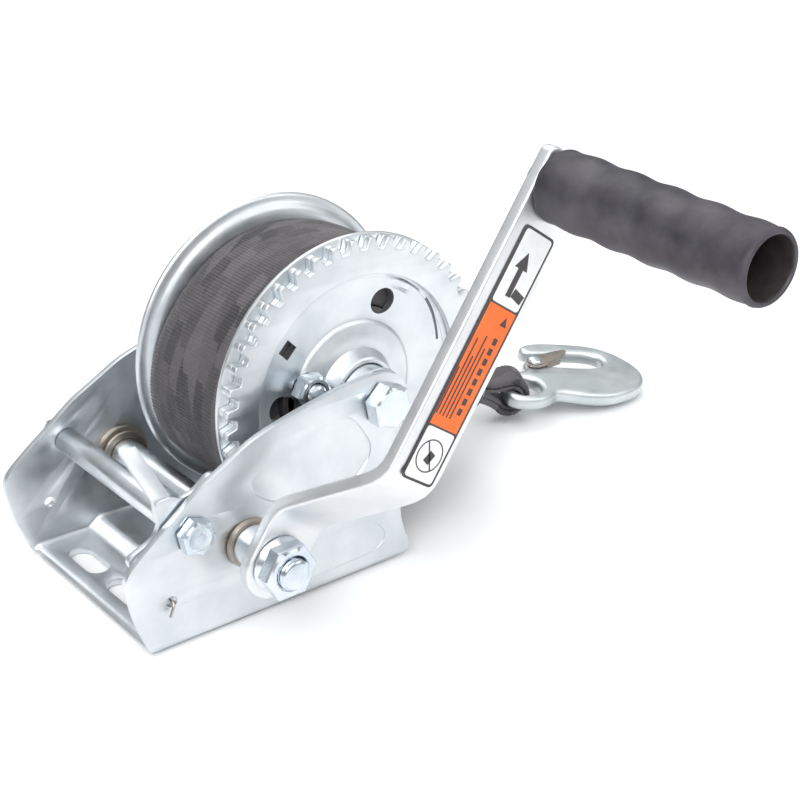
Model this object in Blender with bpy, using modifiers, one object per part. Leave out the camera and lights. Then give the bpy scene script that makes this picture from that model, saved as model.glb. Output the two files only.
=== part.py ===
"""Boat trailer winch: stamped frame, geared webbing reel, joggled crank and strap hook.

X runs from the mounting lip towards the hook, Y across the frame, Z up from the base underside.
The figures are millimetres, and every mesh is written in metres.
"""
import math

import bpy
import bmesh
from mathutils import Matrix, Vector

MM = 0.001

# frame
PLATE_OUT = 47.5
SHEET = 2.7
PLATE_IN = PLATE_OUT - SHEET
BEND_OUT = 4.6
BASE_TOP = 2.7
DECK_TOP = 6.4
FRAME_FRONT = -21.0
SLOT_LENGTH = 22.5
SLOT_WIDTH = 9.6
SLOTS = ((-8.8, 22.7), (-8.8, -6.9), (58.0, 22.0), (58.0, -22.0))

# shaft centres in the XZ plane
REEL = (80.5, 70.3)
SHAFT = (19.6, 32.9)
PAWL = (-2.8, 44.1)
SPRING_HOLE = (-12.6, 20.0)

# gearing, with the tooth's half width at root and tip as a share of the pitch
GEAR_TEETH = 44
GEAR_ROOT = 55.2
GEAR_TIP = 59.0
GEAR_PHASE = 173.91
GEAR_SHARES = (0.285, 0.165)
PINION_TEETH = 11
PINION_ROOT = 12.0
PINION_TIP = 16.0
PINION_PHASE = 34.83
PINION_SHARES = (0.30, 0.125)

# reel
DRUM_OUT = 31.2
ROLL_OUT = 50.6
ROLL_BULGES = ((196.0, 7.6, 40.0), (25.0, 7.6, 30.0))
ANCHOR_REACH = 23.8
ANCHOR_TURN = 165.0

# crank
ARM_ANGLE = 55.2
ARM_HALF = 11.8
ARM_THICK = 5.4
ARM_IN = -64.25
ARM_OUT = -104.55
ARM_END = 167.6
GRIP_FOOT = (108.05, -104.55, 162.75)
GRIP_LEAN = (0.0169, 1.0, 0.0253)
LABEL = (48.8, 141.0, -8.6, 7.0)

# hook: eye centre, the eye bar's place along and across the hook, and the latch rivet's
HOOK_EYE = (218.0, 17.0, 11.5)
HOOK_YAW = -22.0
HOOK_PITCH = -7.5
HOOK_ROLL = 8.5
HOOK_HALF = 3.5
BAR = (-12.7, 1.0)
RIVET = (6.0, 18.6)

# sections and outlines in XZ, then the hook's in its own plane
PLATE_OUTLINE = [
    (87.5, 0.0), (90.4, 0.6), (92.9, 3.0), (93.4, 7.0), (91.0, 12.5), (89.2, 20.0), (88.8, 40.0), (89.2, 54.0),
    (90.4, 59.6), (92.6, 64.0), (93.3, 68.4), (92.2, 73.8), (89.3, 78.3), (84.8, 81.2), (78.3, 82.0),
    (70.0, 81.8), (61.6, 80.8), (52.7, 79.0), (43.9, 77.2), (30.9, 74.1), (22.4, 71.2), (11.8, 65.3),
    (1.3, 59.7), (-9.2, 51.6), (-19.7, 43.9), (-27.6, 37.4), (-29.9, 33.9), (-29.8, 29.5), (-27.0, 15.4),
    (-22.8, 4.1), (-22.0, 1.6), (-19.5, 0.0),
]
PANEL_OUTLINE = [
    (63.6, 69.8), (69.4, 64.0), (72.5, 56.9), (77.1, 51.5), (70.0, 43.0), (60.0, 37.5), (46.0, 37.0),
    (31.9, 45.4), (26.4, 48.5), (22.3, 51.2), (21.8, 57.7), (27.0, 61.1), (45.0, 66.0),
]
PAWL_OUTLINE = [
    (-7.5, 58.5), (-4.5, 56.6), (0.4, 57.2), (3.8, 59.4), (6.8, 61.9), (9.7, 62.2), (13.4, 59.6), (14.4, 54.0),
    (13.6, 50.2), (11.4, 48.7), (8.6, 48.4), (6.0, 46.6), (4.4, 43.0), (2.6, 39.4), (-0.6, 37.0), (-5.5, 36.2),
    (-12.0, 35.6), (-22.0, 34.6), (-25.3, 35.6), (-26.4, 38.4), (-25.4, 40.4), (-22.6, 41.6), (-16.5, 43.9),
    (-13.9, 46.9), (-13.1, 52.5), (-14.7, 58.0),
]
HOOK_OUTLINE = [
    (-4.0, 14.0), (1.0, 15.0), (1.0, 19.5), (2.6, 23.0), (6.0, 24.4), (9.6, 23.4), (12.0, 20.0), (15.0, 18.4),
    (24.0, 17.4), (34.0, 17.0), (41.0, 18.8), (43.6, 22.6), (42.4, 27.2), (37.5, 29.8), (27.0, 30.4),
    (14.0, 30.2), (8.0, 30.0), (4.2, 31.8), (4.0, 35.4), (8.6, 38.8), (16.7, 40.0), (29.5, 39.2), (38.0, 38.2),
    (45.0, 36.0), (52.2, 30.6), (57.4, 23.1), (60.4, 15.0), (59.2, 7.0), (54.5, 0.4), (46.8, -4.4),
    (36.0, -8.2), (26.0, -8.0), (17.0, -5.6), (10.4, -4.4), (6.6, -8.0), (1.0, -11.0), (-5.0, -11.9),
    (-10.4, -11.0), (-14.4, -8.6), (-15.5, -5.6), (-15.5, 7.6), (-14.4, 11.0), (-10.0, 13.4),
]
HOOK_EYE_HOLE = [
    (-9.9, -5.6), (-9.9, 7.6), (-8.2, 9.0), (-2.0, 8.4), (2.4, 6.0), (4.0, 1.6), (2.8, -2.8), (-1.4, -5.8),
    (-6.6, -6.8),
]
LATCH_OUTLINE = [
    (1.6, 18.8), (3.4, 21.6), (8.0, 23.6), (17.0, 27.6), (24.4, 30.0), (26.0, 29.2), (25.4, 27.4),
    (18.0, 21.0), (12.5, 17.0), (7.0, 14.8), (2.4, 15.6),
]
TAIL_LINE = [
    (136.3, 93.0), (139.0, 84.8), (141.0, 75.8), (142.8, 66.8), (146.0, 58.4), (151.6, 50.6), (159.6, 43.6),
    (169.2, 36.4), (179.0, 29.6), (189.0, 23.2),
]


def clear_scene():
    for obj in list(bpy.data.objects):
        bpy.data.objects.remove(obj)


def collection(name):
    made = bpy.data.collections.new(name)
    bpy.context.scene.collection.children.link(made)
    return made


def material(name, colour, metallic, roughness):
    made = bpy.data.materials.new(name)
    made.use_nodes = True
    shader = made.node_tree.nodes["Principled BSDF"]
    shader.inputs["Base Color"].default_value = (*colour, 1.0)
    shader.inputs["Metallic"].default_value = metallic
    shader.inputs["Roughness"].default_value = roughness
    made.diffuse_color = (*colour, 1.0)
    return made


# placements

def moved(x, y, z):
    return Matrix.Translation(Vector((x, y, z)) * MM)


def turned_by(degrees, axis):
    return Matrix.Rotation(math.radians(degrees), 4, axis)


def upright(x, y, z):
    """Local X and Y lie along the model's X and Z, and local Z points to the crank side."""
    return moved(x, y, z) @ turned_by(90, "X")


def hook_place():
    """Local X runs along the hook, Y towards its tip arm and Z through its thickness."""
    yaw, pitch, roll = (math.radians(a) for a in (HOOK_YAW, HOOK_PITCH, HOOK_ROLL))
    along = Vector((math.cos(yaw) * math.cos(pitch), math.sin(yaw) * math.cos(pitch), math.sin(pitch)))
    level = Vector((-math.sin(yaw), math.cos(yaw), 0.0))
    across = level * math.cos(roll) + along.cross(level) * math.sin(roll)
    turn = Matrix((along, across, along.cross(across))).transposed().to_4x4()
    return moved(*HOOK_EYE) @ turn


def grip_place():
    """Axis of the grip: it leaves the arm's foot point and leans a little off the model's Y."""
    lean = Vector(GRIP_LEAN).normalized()
    turn = Vector((0.0, 1.0, 0.0)).rotation_difference(lean).to_matrix().to_4x4()
    foot = moved(*GRIP_FOOT) @ turn
    return foot @ moved(0.0, -GRIP_FOOT[1], 0.0) @ turned_by(90, "X")


# outlines

def arc(cx, cy, radius, start, end, steps):
    """Points on an arc, angles in degrees, both ends included."""
    points = []
    for k in range(steps + 1):
        a = math.radians(start + (end - start) * k / steps)
        points.append((cx + radius * math.cos(a), cy + radius * math.sin(a)))
    return points


def circle(cx, cy, radius, count):
    return arc(cx, cy, radius, 0, 360 - 360 / count, count - 1)


def polar(centre, radius, degrees):
    a = math.radians(degrees)
    return centre[0] + radius * math.cos(a), centre[1] + radius * math.sin(a)


def stadium(cx, cy, length, width, degrees, steps=5):
    """Rounded slot of the given overall length and width."""
    reach = (length - width) / 2
    first = polar((cx, cy), reach, degrees)
    second = polar((cx, cy), -reach, degrees)
    points = arc(*first, width / 2, degrees - 90, degrees + 90, steps)
    return points + arc(*second, width / 2, degrees + 90, degrees + 270, steps)


def gear(centre, teeth, root, tip, phase, shares):
    """Straight sided teeth, one of them centred on the phase angle."""
    points = []
    step = 360.0 / teeth
    at_root, at_tip = shares
    for k in range(teeth):
        middle = phase + k * step
        for radius, share in ((root, -at_root), (tip, -at_tip), (tip, at_tip), (root, at_root)):
            points.append(polar(centre, radius, middle + share * step))
    return points


def thickened(line, half):
    """Outline of a strip that follows the line."""
    left, right = [], []
    for i, point in enumerate(line):
        before = Vector(line[max(i - 1, 0)])
        after = Vector(line[min(i + 1, len(line) - 1)])
        run = (after - before).normalized()
        left.append((point[0] - run.y * half, point[1] + run.x * half))
        right.append((point[0] + run.y * half, point[1] - run.x * half))
    return right + left[::-1]


# objects

def add(name, mesh, look, place, where=None):
    obj = bpy.data.objects.new(name, mesh)
    mesh.materials.clear()
    mesh.materials.append(look)
    obj.matrix_world = place
    (where or PARTS).objects.link(obj)
    return obj


def flat(name, look, loops, height, place, centre=(0.0, 0.0), edge=0.0, where=None):
    """Plate with the first loop as outline and the rest as holes, half its height each side of the place."""
    curve = bpy.data.curves.new(name, "CURVE")
    curve.dimensions = "2D"
    curve.fill_mode = "BOTH"
    curve.extrude = (height / 2 - edge) * MM
    curve.bevel_depth = edge * MM
    curve.bevel_resolution = 0
    curve.offset = -edge * MM
    for loop in loops:
        spline = curve.splines.new("POLY")
        spline.points.add(len(loop) - 1)
        for point, (x, y) in zip(spline.points, loop):
            point.co = ((x - centre[0]) * MM, (y - centre[1]) * MM, 0.0, 1.0)
        spline.use_cyclic_u = True
    holder = bpy.data.objects.new(name, curve)
    bpy.context.scene.collection.objects.link(holder)
    graph = bpy.context.evaluated_depsgraph_get()
    mesh = bpy.data.meshes.new_from_object(holder.evaluated_get(graph))
    bpy.data.objects.remove(holder)
    bpy.data.curves.remove(curve)
    bm = bmesh.new()
    bm.from_mesh(mesh)
    bmesh.ops.remove_doubles(bm, verts=bm.verts, dist=0.000001)
    bm.to_mesh(mesh)
    bm.free()
    return add(name, mesh, look, place, where)


def plate(name, look, loops, y0, y1, centre=(0.0, 0.0), edge=0.0, where=None):
    """Flat sheet parallel to the side plates; its origin is at the given centre."""
    place = upright(centre[0], (y0 + y1) / 2, centre[1])
    return flat(name, look, loops, y1 - y0, place, centre, edge, where)


def turned(name, look, profile, steps, place, where=None):
    """Profile of (radius, y) points revolved about the place's axis; one that starts on the axis is open."""
    ends = zip(profile, profile[1:] + profile[:1])
    if sum(a[0] * b[1] - b[0] * a[1] for a, b in ends) < 0:
        profile = profile[::-1]
    count = len(profile)
    edges = [(k, k + 1) for k in range(count - 1)]
    if profile[0][0] > 0.0:
        edges.append((count - 1, 0))
    mesh = bpy.data.meshes.new(name)
    mesh.from_pydata([(radius * MM, 0.0, -y * MM) for radius, y in profile], edges, [])
    obj = add(name, mesh, look, place, where)
    screw = obj.modifiers.new("turn", "SCREW")
    screw.axis = "Z"
    screw.angle = math.radians(360)
    screw.steps = steps
    screw.render_steps = steps
    screw.use_merge_vertices = True
    screw.merge_threshold = 0.00001
    screw.use_smooth_shade = True
    return obj


def tube(name, look, centre, inner, outer, y0, y1, steps=24):
    profile = [(inner, y0), (outer, y0), (outer, y1), (inner, y1)]
    return turned(name, look, profile, steps, upright(centre[0], 0, centre[1]))


def combine(obj, helper, operation):
    """Cuts, joins or keeps the common part of an object and a helper."""
    helper.hide_render = True
    helper.display_type = "WIRE"
    change = obj.modifiers.new(helper.name, "BOOLEAN")
    change.operation = operation
    change.solver = "EXACT"
    change.object = helper


def hexagonal(obj, half, y0, y1, turn=0.0):
    """Keeps what lies inside a hexagonal bar of the given half width over flats."""
    mesh = bpy.data.meshes.new(f"{obj.name}_flats")
    bm = bmesh.new()
    corner = half * MM / math.cos(math.radians(30))
    depth = (y1 - y0) * MM
    bmesh.ops.create_cone(bm, cap_ends=True, segments=6, radius1=corner, radius2=corner, depth=depth)
    bm.to_mesh(mesh)
    bm.free()
    place = obj.matrix_world @ moved(0, 0, -(y0 + y1) / 2) @ turned_by(turn, "Z")
    helper = add(mesh.name, mesh, LOOK["steel"], place, CUTTERS)
    combine(obj, helper, "INTERSECT")


def bolt(name, centre, half, shank, y_head, y_seat, y_end, turn=0.0):
    """Hex bolt with a chamfered head; the half width is over the flats."""
    step = 1 if y_seat > y_head else -1
    profile = [
        (0, y_head), (half * 0.93, y_head), (half * 1.2, y_head + half * 0.155 * step), (half * 1.2, y_seat),
        (shank, y_seat), (shank, y_end - 0.8 * step), (shank - 0.8, y_end), (0, y_end),
    ]
    obj = turned(name, LOOK["steel"], profile, 24, upright(centre[0], 0, centre[1]))
    hexagonal(obj, half, min(y_head, y_end) - 3, max(y_head, y_end) + 3, turn)


def nut(name, centre, half, bore, y0, y1, turn=0.0):
    profile = [
        (bore, y0), (half * 0.93, y0), (half * 1.2, y0 + half * 0.155), (half * 1.2, y1 - half * 0.155),
        (half * 0.93, y1), (bore, y1),
    ]
    obj = turned(name, LOOK["steel"], profile, 24, upright(centre[0], 0, centre[1]))
    hexagonal(obj, half, y0 - 3, y1 + 3, turn)


# frame and what is bolted to it

def make_frame():
    holes = [circle(*REEL, 5.9, 20), circle(*SHAFT, 8.3, 24), circle(*PAWL, 4.3, 16)]
    holes.append(circle(*SPRING_HOLE, 2.2, 10))
    frame = plate("frame", LOOK["steel"], [PLATE_OUTLINE] + holes, -PLATE_OUT, PLATE_OUT)
    bend = PLATE_OUT - BEND_OUT
    section = [(-PLATE_OUT, 120), *arc(-bend, BEND_OUT, BEND_OUT, 180, 270, 4)]
    section += [*arc(bend, BEND_OUT, BEND_OUT, 270, 360, 4), (PLATE_OUT, 120)]
    lengthwise = moved(30, 0, 0) @ turned_by(90, "Z") @ turned_by(90, "X")
    folded = flat("frame_section", LOOK["steel"], [section], 160, lengthwise, where=CUTTERS)
    combine(frame, folded, "INTERSECT")
    inside = [
        (-60, 200), (-60, -5), (FRAME_FRONT, -5), (FRAME_FRONT, 0.9), (-19.8, 2.3), (-17.9, BASE_TOP),
        (3.5, BASE_TOP), (5.2, 3.4), (7.2, 5.7), (9.0, DECK_TOP), (120, DECK_TOP), (120, 200),
    ]
    under = [(-1.38, -5), (120, -5), (120, 3.7), (9.2, 3.7), (4.7, 0)]
    space = plate("inner_space", LOOK["steel"], [inside], -PLATE_IN, PLATE_IN, edge=1.2, where=CUTTERS)
    combine(frame, space, "DIFFERENCE")
    space = plate("space_under_deck", LOOK["steel"], [under], -PLATE_IN, PLATE_IN, where=CUTTERS)
    combine(frame, space, "DIFFERENCE")
    for k, (x, y) in enumerate(SLOTS):
        loop = stadium(x, y, SLOT_LENGTH, SLOT_WIDTH, 90)
        slot = flat(f"base_slot_{k}", LOOK["steel"], [loop], 30, moved(0, 0, 5), where=CUTTERS)
        combine(frame, slot, "DIFFERENCE")
    depth = 0.9
    recess = plate(
        "panel_recess", LOOK["steel"], [PANEL_OUTLINE], -PLATE_OUT - 5, depth - PLATE_OUT, where=CUTTERS)
    combine(frame, recess, "DIFFERENCE")


def make_fixed_hardware():
    bolt("reel_bolt", REEL, 7.8, 5.55, -54.9, -47.8, 59.0, 12)
    nut("reel_bolt_nut", REEL, 7.8, 5.85, 47.8, 55.6)
    tube("reel_spacer_tube", LOOK["steel"], REEL, 5.9, 8.0, -44.5, 44.5)
    bolt("pawl_bolt", PAWL, 6.2, 3.97, -53.1, -47.8, 57.0, 12)
    nut("pawl_bolt_nut", PAWL, 6.2, 4.25, 47.8, 54.3)
    tube("pawl_tube", LOOK["steel"], PAWL, 4.3, 5.0, -44.5, 44.5, 20)
    near = [(6.65, -50.3), (8.6, -50.3), (9.2, -49.7), (9.2, -47.8), (8.0, -47.8), (8.0, -44.5), (6.65, -44.5)]
    turned("shaft_bushing_near", LOOK["bronze"], near, 24, upright(SHAFT[0], 0, SHAFT[1]))
    far = [(6.65, 42.0), (10.4, 42.0), (11.0, 42.6), (11.0, 44.5), (8.0, 44.5), (8.0, 48.3), (6.65, 48.3)]
    turned("shaft_bushing_far", LOOK["bronze"], far, 24, upright(SHAFT[0], 0, SHAFT[1]))
    tube("shaft_thrust_washer", LOOK["bronze"], SHAFT, 6.65, 9.5, 40.2, 41.7)


def make_pawl_spring():
    """Torsion spring: a coil round the pawl tube whose leg passes out through a hole in the plate."""
    points = []
    per_turn = 16
    for k in range(3 * per_turn + 1):
        x, z = polar(PAWL, 6.1, 205 + 360 * k / per_turn)
        points.append((x, -40.5 + 1.35 * k / per_turn, z))
    leg = [(-10.6, -40.3, 33.0), (-12.0, -40.2, 26.0), (-12.5, -40.5, 22.0), (-12.6, -41.6, 20.3)]
    leg += [(-12.6, -48.4, 20.0), (-12.8, -49.2, 19.2), (-14.4, -49.5, 15.4)]
    points = leg[::-1] + points
    curve = bpy.data.curves.new("pawl_spring", "CURVE")
    curve.dimensions = "3D"
    curve.bevel_depth = 0.5 * MM
    curve.bevel_resolution = 2
    curve.use_fill_caps = True
    spline = curve.splines.new("POLY")
    spline.points.add(len(points) - 1)
    for point, at in zip(spline.points, points):
        point.co = (*(Vector(at) * MM), 1.0)
    curve.materials.append(LOOK["wire"])
    PARTS.objects.link(bpy.data.objects.new("pawl_spring", curve))


# reel

def make_gear_plates():
    teeth = gear(REEL, GEAR_TEETH, GEAR_ROOT, GEAR_TIP, GEAR_PHASE, GEAR_SHARES)
    plate("gear_plate_outer", LOOK["steel"], [teeth, circle(*REEL, 45.3, 44)], -34.6, -31.9, REEL)
    anchor = polar(REEL, ANCHOR_REACH, ANCHOR_TURN)
    holes = [circle(*REEL, 15.0, 24), circle(*anchor, 4.3, 12)]
    holes.append(circle(*polar(REEL, 34.1, 66), 5.25, 16))
    holes.append(circle(*polar(REEL, 37.3, 142.5), 4.2, 4))
    holes.append(stadium(*polar(REEL, 31.9, 181), 13.5, 9.8, -20))
    holes.append(stadium(*polar(REEL, 36.4, 320), 17.0, 7.0, 40))
    inner = plate("gear_plate_inner", LOOK["steel"], [teeth] + holes, -31.6, -28.9, REEL)
    boss = [(11.5, -37.2), (13.4, -37.2), (14.2, -36.4), (17.2, -30.6), (17.2, -29.8), (11.5, -29.8)]
    helper = turned("hub_boss", LOOK["steel"], boss, 24, upright(REEL[0], 0, REEL[1]), CUTTERS)
    combine(inner, helper, "UNION")
    bolt("strap_anchor_bolt", anchor, 6.35, 3.97, 31.2, 25.9, -40.4)
    nut("strap_anchor_nut", anchor, 6.35, 4.27, -38.4, -31.9)


def make_spool():
    axle = upright(REEL[0], 0, REEL[1])
    ring = [(31.5, -28.6), (59.0, -28.6), (59.6, -28.0), (59.6, -27.1), (59.0, -26.5), (31.5, -26.5)]
    turned("reel_flange_near", LOOK["steel"], ring, 64, axle)
    dish = [
        (11.5, 23.5), (54.8, 23.5), (56.2, 24.0), (57.6, 25.6), (59.0, 26.0), (60.4, 26.1), (60.8, 27.0),
        (60.2, 28.1), (58.4, 28.2), (56.4, 27.6), (54.6, 25.6), (11.5, 25.6),
    ]
    far = turned("reel_flange_far", LOOK["steel"], dish, 64, axle)
    hole = circle(*polar(REEL, ANCHOR_REACH, ANCHOR_TURN), 4.3, 12)
    combine(far, plate("anchor_hole", LOOK["steel"], [hole], 20, 30, where=CUTTERS), "DIFFERENCE")
    tube("drum_hub", LOOK["steel"], REEL, 28.9, DRUM_OUT, -28.6, 23.2, 36)
    near = [(8.3, -42.6), (10.2, -42.6), (11.2, -41.6), (11.2, -21.0), (8.3, -21.0)]
    turned("reel_bush_near", LOOK["bronze"], near, 24, axle)
    tube("reel_bush_far", LOOK["bronze"], REEL, 8.3, 11.2, 20.8, 41.4)
    tube("reel_washer_near", LOOK["steel"], REEL, 8.3, 12.0, -44.5, -42.9)
    tube("reel_washer_far", LOOK["steel"], REEL, 8.3, 12.0, 41.7, 44.4)


def make_roll():
    """Wound webbing whose loose outer turns sag away from the core on two sides."""
    outline = []
    for k in range(72):
        degrees = 5.0 * k
        radius = ROLL_OUT
        for middle, swell, spread in ROLL_BULGES:
            away = (degrees - middle + 180) % 360 - 180
            radius += swell * math.exp(-(away / spread) ** 2)
        outline.append(polar(REEL, radius, degrees))
    plate("strap_roll", LOOK["webbing"], [outline, circle(*REEL, 31.5, 36)], -26.2, 23.2, REEL, 0.7)


# crank

def make_drive():
    axle = upright(SHAFT[0], 0, SHAFT[1])
    shaft = [
        (0, -78.5), (5.4, -78.5), (6.0, -77.9), (6.0, -66.9), (6.35, -66.3), (6.35, 52.4), (5.7, 53.0), (0, 53.0),
    ]
    turned("drive_shaft", LOOK["steel"], shaft, 24, axle)
    teeth = gear(SHAFT, PINION_TEETH, PINION_ROOT, PINION_TIP, PINION_PHASE, PINION_SHARES)
    plate("pinion_gear", LOOK["steel"], [teeth, circle(*SHAFT, 6.65, 24)], -44.2, -28.9, SHAFT)
    tube("crank_spacer", LOOK["steel"], SHAFT, 6.65, 7.9, -61.2, -50.6)
    tube("shaft_clip", LOOK["steel"], SHAFT, 6.65, 10.2, 48.6, 49.9)
    hexed = [(0, -76.0), (8.8, -76.0), (11.4, -74.5), (11.4, -68.4), (0, -68.4)]
    body = turned("crank_nut", LOOK["steel"], hexed, 24, axle)
    hexagonal(body, 9.3, -80, -60, 14)
    flange = [(0, -69.6), (9.2, -69.6), (10.7, -68.3), (10.7, -67.3), (0, -67.3)]
    combine(body, turned("nut_flange", LOOK["steel"], flange, 24, axle, CUTTERS), "UNION")
    bore = [(0, -80), (6.3, -80), (6.3, -60), (0, -60)]
    combine(body, turned("nut_bore", LOOK["steel"], bore, 24, axle, CUTTERS), "DIFFERENCE")


def make_arm():
    """Flat bar bent outwards twice: its side profile, kept inside the outline of its face."""
    on_face = upright(SHAFT[0], 0, SHAFT[1]) @ turned_by(ARM_ANGLE, "Z")
    line = [
        (-20, ARM_IN), (14, ARM_IN), (17.5, -65.2), (20.6, -67.6), (23.4, -71.6), (41.4, -97.2), (44.2, -101.2),
        (47.3, -103.6), (50.8, ARM_OUT), (180, ARM_OUT),
    ]
    profile = thickened(line, ARM_THICK / 2)
    arm = flat("crank_arm", LOOK["arm"], [profile], 2 * ARM_HALF, on_face @ turned_by(-90, "X"), edge=0.8)
    wide, corner = ARM_HALF + 0.8, ARM_HALF - 3.2
    face = [*arc(-2, 0, ARM_HALF, 90, 270, 12), (0, -wide), (ARM_END - 6, -wide)]
    face += [*arc(ARM_END - 3.2, -corner, 3.2, 280, 360, 4), *arc(ARM_END - 3.2, corner, 3.2, 0, 80, 4)]
    face += [(ARM_END - 6, wide), (0, wide)]
    outline = flat("arm_outline", LOOK["arm"], [face], 80, on_face @ moved(0, 0, 85), where=CUTTERS)
    combine(arm, outline, "INTERSECT")
    bore = plate("arm_shaft_bore", LOOK["arm"], [circle(*SHAFT, 6.65, 24)], -90, -50, where=CUTTERS)
    combine(arm, bore, "DIFFERENCE")
    hole = [circle(GRIP_FOOT[0], GRIP_FOOT[2], 4.7, 16)]
    combine(arm, plate("arm_axle_bore", LOOK["arm"], hole, -120, -90, where=CUTTERS), "DIFFERENCE")
    low, high, left, right = LABEL
    corners = []
    for x, y, start in ((high, right, 0), (low, right, 90), (low, left, 180), (high, left, 270)):
        inward = Vector((-1 if x == high else 1, -1 if y == right else 1)) * 2.0
        corners += arc(x + inward.x, y + inward.y, 2.0, start, start + 90, 3)
    flat("warning_label", LOOK["label"], [corners], 0.4, on_face @ moved(0, 0, 107.75))


def make_grip():
    place = grip_place()
    axle = [
        (0, -98.5), (7.6, -98.5), (7.6, -101.2), (4.3, -101.2), (4.3, -161.0), (7.4, -161.0), (7.4, -163.0),
        (4.8, -164.6), (0, -164.6),
    ]
    turned("grip_axle", LOOK["steel"], axle, 20, place)
    wave = [(11.6, -108.2), (12.4, -109.4)]
    for k in range(1, 17):
        y = -109.4 - 86.0 * k / 16
        wave.append((12.75 - 0.6 * k / 16 + 0.45 * math.cos(2 * math.pi * (y + 121.0) / 17.2), y))
    wave += [(12.3, -196.6), (11.6, -197.8), (10.6, -198.3)]
    bore = [(10.1, -197.6), (10.1, -160.4), (4.7, -160.4), (4.7, -108.2)]
    turned("grip", LOOK["rubber"], wave + bore, 24, place)


# pawl, hook and webbing tail

def make_pawl():
    loops = [PAWL_OUTLINE, circle(*PAWL, 5.3, 20)]
    pawl = plate("pawl", LOOK["steel"], loops, -43.8, -41.3, PAWL)
    strip = thickened([(-42.55, 50.5), (-42.55, 56.6), (-41.6, 58.6), (-24.4, 70.2)], 1.2)
    sideways = moved(-11.4, 0, 0) @ turned_by(90, "Z") @ turned_by(90, "X")
    tab = flat("thumb_tab", LOOK["steel"], [strip], 6.2, sideways, where=CUTTERS)
    combine(pawl, tab, "UNION")


def make_hook():
    place = hook_place()
    loops = [HOOK_OUTLINE, HOOK_EYE_HOLE, circle(*RIVET, 2.4, 12)]
    flat("hook", LOOK["hook"], loops, 2 * HOOK_HALF, place @ moved(*BAR, 0), BAR, 1.0)
    rivet = [(0, -3.4), (2.1, -3.4), (2.1, 5.7), (3.6, 5.7), (3.6, 6.4), (2.6, 7.2), (0, 7.2)]
    turned("latch_rivet", LOOK["steel"], rivet, 16, place @ moved(*RIVET, 0) @ turned_by(180, "X"))
    loops = [LATCH_OUTLINE, circle(*RIVET, 2.4, 12)]
    latch = flat("latch", LOOK["latch"], loops, 1.5, place @ moved(*RIVET, 4.65), RIVET)
    edge = [(14.9, 25.7), (24.0, 30.0), (24.6, 29.0), (15.5, 24.4)]
    skirt = flat("latch_skirt", LOOK["latch"], [edge], 7.0, place @ moved(0, 0, 1.1), where=CUTTERS)
    combine(latch, skirt, "UNION")


def make_tail():
    """Webbing that narrows from its full width to the folded loop round the hook's eye bar."""
    place = hook_place()
    bar = (place @ (Vector((*BAR, 0.0)) * MM)) / MM
    across = place.to_3x3() @ Vector((0.0, 1.0, 0.0))
    upper = thickened(TAIL_LINE, 1.1)[len(TAIL_LINE):][::-1]
    lower = thickened(TAIL_LINE, 1.1)[:len(TAIL_LINE)]
    thick = thickened(TAIL_LINE, 2.2)
    upper = upper[:6] + thick[len(TAIL_LINE):][::-1][6:]
    lower = lower[:6] + thick[:len(TAIL_LINE)][6:]
    outline = lower + arc(bar.x, bar.z, 7.2, -160, 70, 12) + upper[::-1]
    tail = plate("strap_tail", LOOK["webbing"], [outline, circle(bar.x, bar.z, 5.2, 16)], -0.5, 0.5)
    for vert in tail.data.vertices:
        x, z, y = vert.co.x / MM, vert.co.y / MM, -vert.co.z / MM
        share = min(max((x - 146.0) / (bar.x - 8.0 - 146.0), 0.0), 1.0)
        ease = share * share * (3 - 2 * share)
        reach = 2 * y * (24.0 + (6.1 - 24.0) * ease)
        middle = -1.5 + (bar.y + 1.5 - 10.0 * math.tan(math.radians(HOOK_YAW))) * ease
        middle += max(x - bar.x + 10.0, 0.0) * math.tan(math.radians(HOOK_YAW))
        x += reach * ease * across.x / across.y
        z += reach * ease * across.z / across.y
        vert.co = (x * MM, z * MM, -(middle + reach) * MM)


clear_scene()
LOOK = {
    "steel": material("zinc_plate", (0.62, 0.66, 0.70), 1.0, 0.35),
    "arm": material("arm_plate", (0.72, 0.74, 0.77), 1.0, 0.4),
    "wire": material("spring_wire", (0.62, 0.66, 0.70), 1.0, 0.3),
    "bronze": material("sintered_bronze", (0.36, 0.29, 0.20), 1.0, 0.5),
    "webbing": material("webbing", (0.10, 0.085, 0.095), 0.0, 0.9),
    "rubber": material("grip_plastic", (0.10, 0.09, 0.105), 0.0, 0.45),
    "hook": material("hook_casting", (0.60, 0.64, 0.67), 1.0, 0.45),
    "latch": material("latch_sheet", (0.40, 0.34, 0.30), 1.0, 0.4),
    "label": material("label_print", (1.0, 0.15, 0.02), 0.0, 0.4),
}
PARTS = collection("boat_trailer_winch")
CUTTERS = collection("cutters")
make_frame()
make_fixed_hardware()
make_pawl_spring()
make_gear_plates()
make_spool()
make_roll()
make_drive()
make_arm()
make_grip()
make_pawl()
make_hook()
make_tail()
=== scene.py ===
"""Looks of the boat trailer winch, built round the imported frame.

Lengths are in millimetres unless a name says otherwise; solid() writes them in metres.
X runs towards the strap and hook, Y across the frame, Z up.
"""

import math

import bpy
import bmesh
from mathutils import Matrix, Vector


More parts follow.
